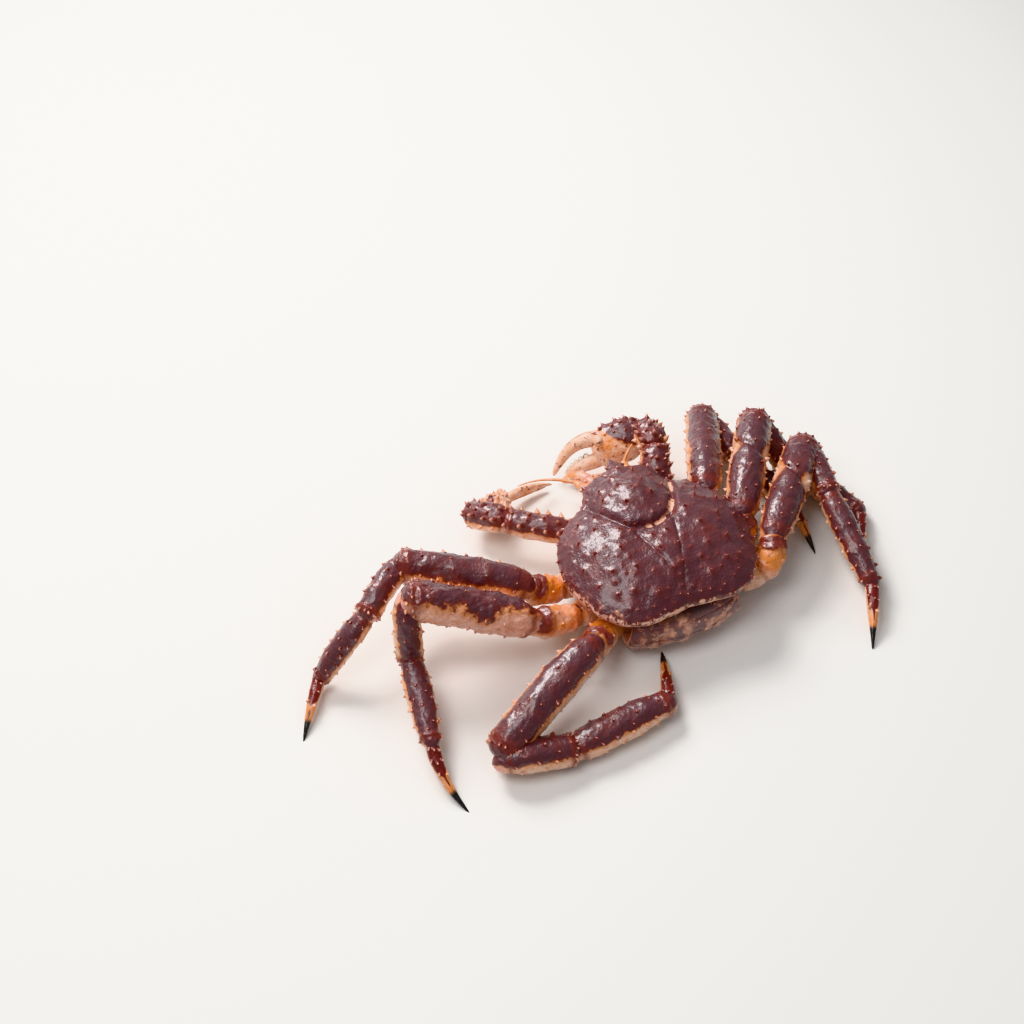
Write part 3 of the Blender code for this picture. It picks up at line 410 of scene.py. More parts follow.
def grid_faces(rows, around):
    """Quads between rings of points and triangles to the pole before and the pole after them."""
    ring = np.arange(rows - 1)[:, None] * around
    side = np.arange(around)
    after = (side + 1) % around
    low, high = 1 + ring, 1 + ring + around
    quads = np.stack([low + side, high + side, high + after, low + after], axis=-1).reshape(-1, 4)
    near = np.stack([np.zeros(around, int), 1 + side, 1 + after], axis=-1)
    last = 1 + (rows - 1) * around
    far = np.stack([last + side, np.full(around, last + around), last + after], axis=-1)
    return quads, np.concatenate([near, far])


def closed_grid(points, masks):
    """One shell from a grid whose first and last rows shrink to points."""
    def flat(values):
        ends = values[0].mean(axis=0, keepdims=True), values[-1].mean(axis=0, keepdims=True)
        return np.concatenate([ends[0], values[1:-1].reshape((-1,) + values.shape[2:]), ends[1]])
    rows, around = points.shape[:2]
    quads, triangles = grid_faces(rows - 2, around)
    whole = {name: np.broadcast_to(masks.get(name, 0.0), (rows, around)) for name in MASKS}
    spread = {name: flat(values.astype(float)) for name, values in whole.items()}
    return outward((flat(points), quads, triangles, spread))


def outward(shell):
    """Turn the faces round where the volume, the sum of a . (b x c) / 6, is negative."""
    points, quads, triangles, masks = shell
    split = np.concatenate([quads[:, :3], quads[:, (0, 2, 3)], triangles])
    a, b, c = (points[split[:, corner]] for corner in range(3))
    if np.sum(a * np.cross(b, c)) < 0:
        quads, triangles = quads[:, ::-1], triangles[:, ::-1]
    return points, quads, triangles, masks


def spine_shells(roots, directions, lengths, radii, masks):
    """Ring j of spine i is root + height_j length direction + radius_j (cos b across + sin b over)."""
    count = len(roots)
    heights = np.array([height for height, _ in SPINE_PROFILE])
    widths = np.array([width for _, width in SPINE_PROFILE])
    directions = unit(directions)
    across = unit(np.cross(directions, (0.31, 0.95, 0.07)))
    over = np.cross(directions, across)
    b = TURN * np.arange(SPINE_SIDES) / SPINE_SIDES
    circle = np.cos(b)[:, None] * across[:, None, :] + np.sin(b)[:, None] * over[:, None, :]
    spine = lengths[:, None, None] * heights[:, None] * directions[:, None, :]
    ring = (radii[:, None] * widths)[:, :, None, None] * circle[:, None]
    rings = roots[:, None, None] + spine[:, :, None] + ring
    tips = roots + directions * lengths[:, None]
    feet = roots + directions * (lengths * heights[0])[:, None]
    points = np.concatenate([feet[:, None], rings.reshape(count, -1, 3), tips[:, None]], axis=1)
    quads, triangles = grid_faces(len(heights), SPINE_SIDES)
    size = points.shape[1]
    shift = (np.arange(count) * size)[:, None, None]

    def each_point(values):
        return np.repeat(np.broadcast_to(values, count).astype(float), size)
    spread = {name: each_point(masks.get(name, 0.0)) for name in MASKS}
    share = np.concatenate([[heights[0]], np.repeat(heights, SPINE_SIDES), [1.0]])
    spread["tip"] = each_point(masks.get("tip", 1.0)) * np.tile(np.clip(share, 0, 1), count)
    spread["halo"] = np.ones(count * size)
    quads, triangles = (quads + shift).reshape(-1, 4), (triangles + shift).reshape(-1, 3)
    return outward((points.reshape(-1, 3), quads, triangles, spread))


def round_spines(points, roots, radii):
    """Sum of the swellings 0.62 radius exp(-1.2 distance / radius), and a halo round each root."""
    swell, halo = np.zeros(points.shape[:-1]), np.zeros(points.shape[:-1])
    for root, radius in zip(roots, radii):
        distance = np.sum((points - root) ** 2, axis=-1) / radius ** 2
        swell += 0.62 * radius * np.exp(-1.2 * np.sqrt(distance + 0.04))
        halo += np.exp(-distance / 3.0)
    return swell, np.clip(halo, 0, 1)


def make_piece(name, shells, finish, nodes=()):
    """One object from closed shells, in place of the nodes given or of the node of its name."""
    points = np.concatenate([shell[0] for shell in shells])
    points[:, 2] = np.maximum(points[:, 2], 0.0)
    starts = np.cumsum([0] + [len(shell[0]) for shell in shells[:-1]])
    quads = np.concatenate([shell[1] + start for shell, start in zip(shells, starts)])
    triangles = np.concatenate([shell[2] + start for shell, start in zip(shells, starts)])
    corners = np.concatenate([quads.ravel(), triangles.ravel()]).astype(np.int32)
    sizes = np.concatenate([np.full(len(quads), 4), np.full(len(triangles), 3)])
    mesh = bpy.data.meshes.new(name)
    mesh.vertices.add(len(points))
    mesh.vertices.foreach_set("co", (points * MM).ravel())
    mesh.loops.add(len(corners))
    mesh.loops.foreach_set("vertex_index", corners)
    mesh.polygons.add(len(sizes))
    mesh.polygons.foreach_set("loop_start", (np.cumsum(sizes) - sizes).astype(np.int32))
    mesh.update(calc_edges=True)
    mesh.validate()
    mesh.shade_smooth()
    for mask in MASKS:
        values = np.concatenate([shell[3][mask] for shell in shells]).astype(np.float32)
        mesh.attributes.new(mask, "FLOAT", "POINT").data.foreach_set("value", values)
    mesh.materials.append(finish)
    piece = bpy.data.objects.new(name + "_shell", mesh)
    bpy.context.scene.collection.objects.link(piece)
    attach(piece, "root")
    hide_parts(*(nodes or (name,)))
    return piece


# Limbs.

class Limb:
    """An oval shell along the bowed axis A(t) = (1 - t)^2 P + 2t(1 - t) C + t^2 Q.

    Its surface is S(t, a) = A(t) + size(t) (w sin a side + h cos a up), with t from 0 at the near
    joint to 1 at the far joint and a measured from the upper side.
    """

    def __init__(self, start, end, half_width, half_height, shape, bow=0.0, bend=None, upper=(0, 0, 1)):
        self.start, self.end = np.asarray(start, float), np.asarray(end, float)
        self.half_width, self.half_height = half_width, half_height
        self.places = np.array([place for place, _ in shape])
        self.shares = np.array([share for _, share in shape])
        self.upper = unit(upper)
        middle = (self.start + self.end) / 2
        if bend is None:
            along = unit(self.end - self.start)
            bend = middle + bow * unit(self.upper - along * (self.upper @ along))
        self.control = 2 * np.asarray(bend, float) - middle

    def axis(self, t):
        t = t[..., None]
        return (1 - t) ** 2 * self.start + 2 * t * (1 - t) * self.control + t ** 2 * self.end

    def frame(self, t):
        """Unit vectors along the axis, to the side and up."""
        t = t[..., None]
        along = unit((1 - t) * (self.control - self.start) + t * (self.end - self.control))
        up = unit(self.upper - along * (along @ self.upper)[..., None])
        return along, np.cross(along, up), up

    def surface(self, t, a):
        size = smooth_through(self.places, self.shares, t)
        _, side, up = self.frame(t)
        sine, cosine = np.sin(a)[..., None], np.cos(a)[..., None]
        reach = self.half_width * sine * side + self.half_height * cosine * up
        return self.axis(t) + size[..., None] * reach

    def normal(self, t, a):
        """Unit vector along sin a / w side + cos a / h up."""
        _, side, up = self.frame(t)
        sine, cosine = np.sin(a)[..., None], np.cos(a)[..., None]
        return unit(sine / self.half_width * side + cosine / self.half_height * up)

    def grid(self, step):
        """Rows and columns of t and a about step apart, closer together towards both ends."""
        length = np.linalg.norm(self.end - self.start) * (self.places[-1] - self.places[0])
        rows = int(length / step) + 24
        around = int(math.pi * (self.half_width + self.half_height) / step) // 2 * 2 + 8
        u = np.linspace(0, 1, rows)
        u = u - 0.82 * np.sin(TURN * u) / TURN
        t = self.places[0] + (self.places[-1] - self.places[0]) * u
        return np.meshgrid(t, TURN * np.arange(around) / around, indexing="ij")


def spine_spots(rows, seed):
    """Places, angles and lengths of spines in rows, each a little off its even place."""
    draw = np.random.default_rng(seed)
    spots = []
    for angle, count, length, low, high in rows:
        share = np.linspace(low, high, count) if count > 1 else np.array([low])
        turn = angle + draw.uniform(-8, 8, count)
        spots.append(np.stack([share + draw.uniform(-0.025, 0.025, count), turn,
                               length * draw.uniform(0.75, 1.2, count)], axis=-1))
    t, a, length = np.concatenate(spots).T
    return t, np.radians(a), length


def limb_shells(limb, rows, masks_at, seed, step=0.9, relief=1.0, collars=FAR_COLLAR, stoutness=0.6,
                crease=None):
    """The skin of a limb and its spines.

    The skin stands off S(t, a) by relief times three random fields, a swelling under every spine
    and a ring at each collar, and sinks in at a slanting crease t + slant sin a = place.
    """
    t, a = limb.grid(step)
    points = limb.surface(t, a)
    normals = grid_normals(points)
    first, last = limb.places[0], limb.places[-1]
    fade = ramp(t, first, first + END_FADE) * (1 - ramp(t, last - END_FADE, last))
    lift = relief * uneven(points, LIMB_SKIN, seed)
    for place, height in collars:
        lift = lift + height * bump(t, place, COLLAR_SPREAD)
    if crease:
        place, slant, depth = crease
        lift = lift - depth * bump(t + slant * np.sin(a), place, CREASE_SPREAD)
    masks = masks_at(t, a)
    shells = []
    if rows:
        spot_t, spot_a, lengths = spine_spots(rows, seed)
        lengths = lengths * crab_sizes().spine_length
        roots = limb.surface(spot_t, spot_a)
        along, _, _ = limb.frame(spot_t)
        directions = unit(limb.normal(spot_t, spot_a) + SPINE_LEAN * along)
        radii = stoutness * lengths + ROOT_FLARE
        swell, masks["halo"] = round_spines(points, roots, radii)
        lift = lift + swell
        feet, spine_masks = roots + ROOT_LIFT * directions, masks_at(spot_t, spot_a)
        shells.append(spine_shells(feet, directions, lengths, radii, spine_masks))
    points = points + normals * (lift * fade)[..., None]
    shells.insert(0, closed_grid(points, masks))
    return shells


def paint_masks(limb, dark_side, border, warm=0.35, pink=0.0, near_ring=0.06, far_ring=0.95,
                width=USUAL_SHELL[0]):
    """Masks of a segment: pale beyond the border angle from its dark side, dark red near its ends."""
    _, side, up = limb.frame(np.array(0.5))
    middle = math.degrees(math.atan2(side @ dark_side, up @ dark_side))

    def masks_at(t, a):
        off = np.abs((np.degrees(a) - middle + 180) % 360 - 180)
        neck = 1 - ramp(t, -0.03, 0.02)
        rim = ramp(t, 1.0, 1.03)
        return {
            "pale": np.clip(0.5 + (off - tongue(t, border)) / width + 0.25 * neck, 0, 1),
            "warm": np.clip(warm + 0.3 * bump(t, 1.0, 0.1), 0, 1),
            "pink": np.clip(pink + 0.8 * rim + 0.6 * neck, 0, 1),
            "ring": np.clip(0.8 * bump(t, far_ring, 0.05) + 0.75 * bump(t, near_ring, 0.035), 0, 1),
        }
    return masks_at


def tongue(t, border):
    """The border angle, smooth through (place, angle) stations where it isn't one number."""
    if isinstance(border, tuple):
        places, angles = np.array(border, float).T
        return smooth_through(places, angles, np.clip(t, 0, 1))
    return border


def dactyl_masks(t, a):
    """Dark red with pale edges, then orange from 0.4 of the length, then black from 0.7."""
    off = np.abs((np.degrees(a) + 180) % 360 - 180)
    ends = 0.9 * ramp(t, 0.36, 0.5) + 0.7 * (1 - ramp(t, -0.02, 0.05))
    return {
        "pale": np.clip(0.5 + (off - 62) / 60 + ends, 0, 1),
        "warm": np.clip(0.5 + 0.4 * ramp(t, 0.35, 0.6), 0, 1),
        "ring": 0.8 * (1 - ramp(t, 0.3, 0.5)) * (1 - ramp(off, 30, 80)),
        "black": ramp(t, 0.66, 0.73),
    }


def segment_masks(name, limb):
    """The masks of a leg or claw segment, from the tables above."""
    width, pink, _ = THIN_SHELL.get(name, USUAL_SHELL)
    side, reach = DARK_SIDES.get(name, DARK_SIDE), DARK_REACHES.get(name, DARK_REACH)
    return paint_masks(limb, side, reach, pink=pink, width=width)


def base_masks(limb):
    """Orange above and cream below, with a red-brown saddle at the far end and pink by the trunk."""
    def masks_at(t, a):
        patches = clumps(limb.surface(t, a), 16, 6)
        upper = np.cos(a)
        saddle = bump(t, 0.97, 0.09) * ramp(upper + 0.3 * patches, -0.5, 0.5)
        return {
            "pale": np.clip(0.9 - 0.25 * bump(t, 0.52, 0.04) - 0.7 * saddle + 0.25 * patches, 0, 1),
            "warm": np.clip(0.3 + 0.4 * upper + 0.7 * patches + 0.3 * bump(t, 0.75, 0.12), 0, 1),
            "pink": np.clip(0.7 * bump(t, 0.1, 0.16) + 0.3 * bump(t, 0.6, 0.06) - 0.3 * patches, 0, 1),
            "ring": np.clip(0.4 * bump(t, 0.52, 0.02) + 0.85 * saddle, 0, 1),
        }
    return masks_at


def leg_limbs(name):
    """Base, merus, carpus, propodus and dactyl of one walking leg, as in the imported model."""
    root, knuckle, hip, turns = LEGS[name]
    pair = int(name[-1])
    hip = np.array(hip, float)
    steps = [length * heading(*turn) for length, turn in zip(LEG_LENGTHS[pair], turns)]
    knee = hip + steps[0]
    wrist = knee + steps[1] + KNEE_STEPS.get(name, (0, 0, 0))
    ankle = wrist + steps[2]
    tip = ankle + steps[3]
    widths, heights, slim = LEG_HALF_WIDTHS[pair], LEG_HALF_HEIGHTS[pair], SLIM_LEGS.get(name, 1)
    return {
        "base": Limb(root, hip, BASE_HALF_WIDTH, BASE_HALF_HEIGHT, BASE_SHAPE, bend=knuckle),
        "merus": Limb(hip, knee, widths[0], heights[0], MERUS_SHAPE, bow=3 + 3 * (pair == 3)),
        "carpus": Limb(wrist - steps[1], wrist, widths[1] * slim, heights[1] * slim, CARPUS_SHAPE, bow=2),
        "propodus": Limb(wrist, ankle, widths[2] * slim, heights[2] * slim, PROPODUS_SHAPE, bow=1),
        "dactyl": Limb(ankle, tip, widths[3], heights[3], DACTYL_SHAPE,
                       bend=(ankle + tip) / 2 + DACTYL_BENDS.get(name, DACTYL_BEND)),
    }


# The carapace, trunk and abdomen.

def reach_table(half_plan, centre):
    """Reach from the centre by direction: straight between the named points, then averaged over 5 degrees."""
    half = np.array(half_plan, float) - centre
    mirrored = half[::-1] * (-1, 1)
    if abs(half[0][0]) < 1e-9:
        mirrored = half[-2:0:-1] * (-1, 1)
    full = np.vstack([half, mirrored])
    turns = np.unwrap(np.arctan2(full[:, 1], full[:, 0]))
    reaches = np.hypot(full[:, 0], full[:, 1])
    turns, reaches = np.append(turns, turns[0] + TURN), np.append(reaches, reaches[0])
    angles = TURN * np.arange(1440) / 1440
    table = np.interp(turns[0] + (angles - turns[0]) % TURN, turns, reaches)
    kernel = bump(np.minimum(np.arange(1440), 1440 - np.arange(1440)), 0, 11)
    return np.real(np.fft.ifft(np.fft.fft(table) * np.fft.fft(kernel / kernel.sum())))


BACK_REACH = reach_table(HALF_OUTLINE, OUTLINE_CENTRE)
TRUNK_REACH = reach_table(TRUNK_HALF_PLAN, TRUNK_CENTRE)


def reach_at(table, angle):
    """The table's reach by direction, straight between its entries."""
    place = (angle % TURN) / TURN * len(table)
    low = np.floor(place).astype(int) % len(table)
    share = place - np.floor(place)
    return table[low] * (1 - share) + table[(low + 1) % len(table)] * share


def margin_height(y):
    """Height plus rise (y / 90)^2, with one rise for the front and one for the rear."""
    return MARGIN_HEIGHT + np.where(y > 0, MARGIN_RISE_REAR, MARGIN_RISE_FRONT) * (y / 90) ** 2


def path_distance(x, y, path):
    """Shortest distance in plan to a path on one half of the back or its mirror image."""
    best = np.full(x.shape, 1e9)
    for (ax, ay), (bx, by) in zip(path, path[1:]):
        ex, ey = bx - ax, by - ay
        share = np.clip(((np.abs(x) - ax) * ex + (y - ay) * ey) / (ex * ex + ey * ey), 0, 1)
        best = np.minimum(best, np.hypot(np.abs(x) - ax - share * ex, y - ay - share * ey))
    return best


def back_surface(share, angle):
    """The back: a crown (1 - s^2.3)^0.6 over the margin, with swellings added and grooves taken off."""
    rim = reach_at(BACK_REACH, angle)
    x = OUTLINE_CENTRE[0] + rim * share * np.cos(angle)
    y = OUTLINE_CENTRE[1] + rim * share * np.sin(angle)
    low = margin_height(OUTLINE_CENTRE[1] + rim * np.sin(angle))
    crown = (1 - np.minimum(share, 1) ** 2.3) ** 0.6
    height = low + (BACK_HEIGHT - low) * crown
    for across, rearward, spread_x, spread_y, rise in SWELLINGS:
        off = ((x - across) / spread_x) ** 2 + ((y - rearward) / spread_y) ** 2
        height = height + rise * crown * np.exp(-off)
    for path, depth, width in GROOVES:
        height = height - depth * crown ** 0.5 * np.exp(-(path_distance(x, y, path) / width) ** 2)
    return np.stack([x, y, height], axis=-1)


def wall_surface(v, angle):
    """The wall under the margin, from v = 0 at the margin to v = 3 at the underside."""
    rim = reach_at(BACK_REACH, angle)
    y = OUTLINE_CENTRE[1] + rim * np.sin(angle)
    inset = WALL_INSET + (REAR_INSET - WALL_INSET) * np.clip((y - 50) / 35, 0, 1)
    top = margin_height(y)
    one = np.ones_like(angle)
    shares = np.stack([one, 0.99 * one, 0.985 + (inset - 0.985) * 0.35, inset])
    heights = np.stack([top, top - 4, top - 4 - (top - 4 - UNDERSIDE_HEIGHT) * 0.55, UNDERSIDE_HEIGHT * one])
    share, height = curve_through(shares, v), curve_through(heights, v)
    x = OUTLINE_CENTRE[0] + rim * share * np.cos(angle)
    return np.stack([x, OUTLINE_CENTRE[1] + rim * share * np.sin(angle), height], axis=-1)


def small_knobs(draw):
    """Knobs of the back between its large spines, drawn at random, closer together towards the margin."""
    kept = [(x * side, y) for x, y, _ in BACK_SPINES for side in (1, -1)]
    knobs = []
    for _ in range(KNOB_TRIES):
        angle, share = draw.uniform(0, TURN), math.sqrt(draw.uniform(0, 0.95))
        reach = float(reach_at(BACK_REACH, np.array(angle))) * share
        spot = (OUTLINE_CENTRE[0] + reach * math.cos(angle), OUTLINE_CENTRE[1] + reach * math.sin(angle))
        apart = KNOB_SPACING - CLOSER_AT_MARGIN * (share > 0.86)
        if min(math.dist(spot, other) for other in kept) > apart:
            kept.append(spot)
            knobs.append((*spot, draw.uniform(1.0, 2.4)))
    return knobs


def back_spines():
    """Roots, directions, lengths and paleness of tip of all spines of the back and its margin."""
    draw = np.random.default_rng(5)
    spots = []
    for x, y, length in BACK_SPINES:
        for side in (1, -1):
            spot = (side * x + draw.uniform(-2, 2), y + draw.uniform(-2, 2))
            spots.append((*spot, length * draw.uniform(0.8, 1.1)))
    spots += small_knobs(draw)
    x, y, lengths = np.array(spots).T
    angle = np.arctan2(y - OUTLINE_CENTRE[1], x - OUTLINE_CENTRE[0])
    share = np.hypot(x - OUTLINE_CENTRE[0], y - OUTLINE_CENTRE[1]) / reach_at(BACK_REACH, angle)
    roots = back_surface(share, angle)
    outward_step = back_surface(share + 0.02, angle) - roots
    side_step = back_surface(share, angle + 0.04) - roots
    directions = unit(np.cross(outward_step, side_step))
    directions *= np.sign(directions[:, 2:])
    directions = unit(directions + (0, -0.15, 0.1))
    degrees, edge_lengths = np.array(MARGIN_SPINES, float).T
    edge_angle = np.radians(np.concatenate([degrees, 180 - degrees]))
    one = np.ones(len(edge_angle))
    edge_roots = back_surface(0.99 * one, edge_angle)
    edge_directions = unit(np.stack([np.cos(edge_angle), np.sin(edge_angle), 0.35 * one], axis=-1))
    scale = crab_sizes().spine_length
    pale_tips = np.concatenate([ramp(share, 0.78, 0.95), one])
    return (np.concatenate([roots, edge_roots]), np.concatenate([directions, edge_directions]),
            np.concatenate([lengths, edge_lengths, edge_lengths]) * scale, pale_tips)


def back_masks(points, share, angle, under):
    """Cream blobs in the grooves, pink specks by the left rear margin, cream at the rear edge and below."""
    x, y = points[..., 0], points[..., 1]
    blobs = ramp(clumps(points, 8, 12) + 0.5 * clumps(points, 3.5, 13), -0.15, 0.25)
    right_side = 0.35 + 0.65 * ramp(-x, -14, 2)
    groove = 0.85 * bump(path_distance(x, y, GROOVES[0][0]), 0, 3.4) * right_side * blobs
    groove = groove + 0.2 * bump(path_distance(x, y, GROOVES[1][0]), 0, 1.2) * blobs
    turn = (np.degrees(angle) + 180) % 360 - 180
    specks = 0.6 + 0.55 * clumps(points, 2.6, 14) + 0.3 * clumps(points, 9, 15)
    band = ramp(share, 0.84, 0.97) * bump(turn, 36, 34) * specks
    edge = ramp(share, 0.972, 0.995) * (0.3 + 0.7 * ramp(np.sin(angle), -0.1, 0.4)) * specks
    return {
        "pale": np.clip(0.06 + groove + 0.62 * band + 0.65 * edge + under, 0, 1),
        "warm": np.clip(0.12 + 0.3 * bump(under, 0.5, 0.3), 0, 1),
        "pink": np.clip(0.4 * np.clip(under, 0, 1) + 0.7 * band + 0.2 * groove, 0, 1),
    }


def carapace_shells():
    """The back, its wall and its underside as one skin, the spines of the back, and the rostrum."""
    around, rings, wall_rings = 480, 140, 20
    a = TURN * np.arange(around) / around
    share, angle = np.meshgrid(np.sin(math.pi / 2 * np.arange(rings + 1) / rings), a, indexing="ij")
    back = back_surface(share, angle)
    v = 3 * np.arange(1, wall_rings + 1) / wall_rings
    wall = wall_surface(v, a)
    inner = np.array((0.8, 0.5, 0.2, 0.0))[:, None, None]
    centre = np.array((*OUTLINE_CENTRE, UNDERSIDE_HEIGHT), float)
    floor = centre + inner * (wall[-1] - centre)
    points = np.concatenate([back, wall, floor])
    rest = len(points) - rings - 1
    shares = np.concatenate([share, np.ones((rest, around))])
    angles = np.concatenate([angle, np.broadcast_to(a, (rest, around))])
    under = np.concatenate([np.zeros(rings + 1), ramp(v, 0.2, 1.2), np.ones(4)])[:, None] + np.zeros(around)
    roots, directions, lengths, pale_tips = back_spines()
    swell, _ = round_spines(points, roots, 1.05 * lengths + 0.5)
    masks = back_masks(points, shares, angles, under)
    _, masks["halo"] = round_spines(points, roots, 0.5 * lengths + 0.4)
    lift = uneven(points, BACK_SKIN) + swell
    lift = lift * (points[..., 2] > UNDERSIDE_HEIGHT + 0.5)
    shell = closed_grid(points + grid_normals(points) * lift[..., None], masks)
    spine_roots = roots + 0.3 * lengths[:, None] * directions
    spike_masks = {"pale": 0.06, "tip": 0.5 + 0.5 * pale_tips}
    spikes = spine_shells(spine_roots, directions, 0.85 * lengths, 0.42 * lengths + 0.3, spike_masks)
    rostrum = Limb(*ROSTRUM, *ROSTRUM_HALF, ROSTRUM_SHAPE)
    rostrum_masks = paint_masks(rostrum, DARK_SIDE, 120, 0.2, 0, -1, 3)
    return [shell, spikes] + limb_shells(rostrum, ROSTRUM_ROWS, rostrum_masks, 19, 0.7, 0.4, ())


def trunk_shells():
    """Block under the carapace: the plan's reach times a share by height, with a furrow behind each leg."""
    rows, around = 120, 260
    a = TURN * np.arange(around) / around
    side = curve_through(TRUNK_SIDE, np.linspace(0, len(TRUNK_SIDE) - 1, rows))
    share, height = side[:, :1], np.clip(side[:, 1:], TRUNK_FLOOR, TRUNK_TOP)
    furrow = sum(bump(np.degrees((a - math.radians(turn) + math.pi) % TURN - math.pi), 0, 3)
                 for turn in TRUNK_FURROWS)
    reach = (reach_at(TRUNK_REACH, a) - 2.0 * furrow) * share
    x, y = TRUNK_CENTRE[0] + reach * np.cos(a), TRUNK_CENTRE[1] + reach * np.sin(a)
    points = np.stack([x, y, np.broadcast_to(height, (rows, around))], axis=-1)
    return [closed_grid(points, {"pale": 0.95, "warm": 0.15 + 0.5 * furrow, "pink": 0.3})]


def plate_furrow(v):
    """Sum of the bumps exp(-((v - place) / 0.05)^2), one at each furrow between two plates."""
    return sum(bump(v, place, 0.05) for place in ABDOMEN_FURROWS)


def abdomen_surface(v, b, shrink=1.0):
    """Swept along its path: across = |cos b|^0.8 W, inward = |sin b|^0.6 T, thinner at the furrows."""
    stations = np.array([(0, y, z) for y, z in ABDOMEN_PATH], float)
    inward = np.cross(unit(curve_through(np.gradient(stations, axis=0), v)), (1, 0, 0))
    width, thick = curve_through(ABDOMEN_HALF_WIDTHS, v), curve_through(ABDOMEN_HALF_THICKNESSES, v)
    across = np.sign(np.cos(b)) * np.abs(np.cos(b)) ** 0.8 * width * shrink
    thick = thick * shrink * (1 - 0.22 * plate_furrow(v))
    depth = np.sign(np.sin(b)) * np.abs(np.sin(b)) ** 0.6 * thick
    curl = ABDOMEN_CURL * (across / width) ** 2 * (1 - ramp(v, 4.3, 5.2))
    points = curve_through(stations, v) + depth[..., None] * inward
    return points + np.stack([across, -curl, np.zeros(across.shape)], axis=-1), inward


def abdomen_shells():
    """The flap and the grains and blunt spines scattered over its outer side, with painted shadow at the
    flap's root under the carapace.
    """
    rows, end_rows, around = 190, 6, 300
    last = len(ABDOMEN_PATH) - 1.0
    v = np.concatenate([np.zeros(end_rows), np.linspace(0, last, rows), np.full(end_rows, last)])
    closing = np.linspace(0, 0.98, end_rows) ** 0.5
    shrink = np.concatenate([closing, np.ones(rows), closing[::-1]])
    v, b = np.meshgrid(v, TURN * np.arange(around) / around, indexing="ij")
    points, _ = abdomen_surface(v, b, shrink[:, None])
    draw = np.random.default_rng(8)
    grain_v = draw.uniform(0.3, 4.3, ABDOMEN_GRAINS)
    grain_b = np.radians(draw.uniform(195, 345, ABDOMEN_GRAINS))
    roots, inward = abdomen_surface(grain_v, grain_b)
    lengths = 1.1 + 2.4 * draw.uniform(0, 1, ABDOMEN_GRAINS) ** 3 + 0.8 * bump(grain_v, 1.9, 0.35)
    swell, halo = round_spines(points, roots, 0.9 * lengths)
    lift = uneven(points, ABDOMEN_SKIN) + swell
    points = points + grid_normals(points) * (lift * shrink[:, None])[..., None]
    patches = clumps(points, 11, 4) + 0.7 * clumps(points, 4, 5)
    outer = 0.4 + 0.25 * patches + 0.3 * ramp(v, 1.9, 3.0) + 0.15 * halo
    masks = {
        "pale": np.clip(np.where(np.sin(b) < 0, outer, 0.9), 0, 1),
        "warm": np.clip(0.25 + 0.3 * patches, 0, 1),
        "pink": 0.3,
        "ring": 0.35 * plate_furrow(v),
        # Black over the first part of the flap, v below 1.1, is painted shadow in the gap under the carapace's
        # rear rim.
        "black": 0.75 * (1 - ramp(v, 0.5, 1.1)),
    }
    directions = unit(draw.normal(0, 0.12, (ABDOMEN_GRAINS, 3)) - inward + (0, 0, 0.2))
    grain_masks = {"pale": 0.75, "warm": 0.2, "tip": 0.7}
    grains = spine_shells(roots, directions, lengths, 0.5 * lengths + 0.2, grain_masks)
    return [closed_grid(points, masks), grains]


# Head.

def ball_shell(centre, radius, stretch=(1, 1, 1), rings=18, around=24, masks=None):
    """c + r (sin p cos q, sin p sin q, -cos p), stretched along each axis."""
    p, q = np.meshgrid(np.linspace(0, math.pi, rings), TURN * np.arange(around) / around, indexing="ij")
    spot = np.stack([np.sin(p) * np.cos(q), np.sin(p) * np.sin(q), -np.cos(p)], axis=-1)
    return closed_grid(np.asarray(centre, float) + radius * spot * stretch, masks or {})


def plain_masks(pale, warm, pink=0.0, ring=0.0, joint=0.45):
    """The same paint all along, with pink skin and a red ring of the given strengths at the joint."""
    def masks_at(t, a):
        skin, red = pink * bump(t, joint, 0.12), ring * bump(t, joint, 0.03)
        return {"pale": pale, "warm": warm, "pink": skin, "ring": red}
    return masks_at


def eye_shells(sign):
    """A stalk and a black eye, on the left side for 1 and on the right for -1."""
    mirror = np.array((sign, 1, 1))
    stalk = Limb(mirror * EYE_ROOT, mirror * EYE_PLACE, STALK_RADIUS, STALK_RADIUS, STALK_SHAPE)
    skin = limb_shells(stalk, (), plain_masks(0.6, 0.5), 3, 0.6, 0.1, ())
    return skin + [ball_shell(mirror * EYE_PLACE, EYE_RADIUS, (1, 1.15, 1), masks={"black": 1.0})]


def antenna_shells(name):
    """A stem with its two spines, and a lash."""
    root, elbow, middle, tip = ANTENNAE[name]
    stem = Limb(root, elbow, *STEM_HALF, STEM_SHAPE)
    lash = Limb(elbow, tip, LASH_HALF, LASH_HALF, LASH_SHAPE, bend=middle)
    stem_masks = plain_masks(0.85, 0.6, 0.2, 0.6, 0.4)
    shells = limb_shells(stem, STEM_ROWS, stem_masks, 6, 0.6, 0.3, ((0.4, -0.6),))
    return shells + limb_shells(lash, (), plain_masks(0.8, 1.0), 7, 0.6, 0.05, ())


def mouth_leg_shells(name):
    """An outer mouthpart as one bent limb."""
    root, bend, end = MOUTH_LEGS[name]
    arm = Limb(root, end, *MOUTH_LEG_HALF, MOUTH_LEG_SHAPE, bend=bend)
    return limb_shells(arm, MOUTH_ROWS, plain_masks(0.85, 0.55, 0.5, 0.3, 0.5), 9, 0.6, 0.4, ((0.5, -0.6),))


# Claws.

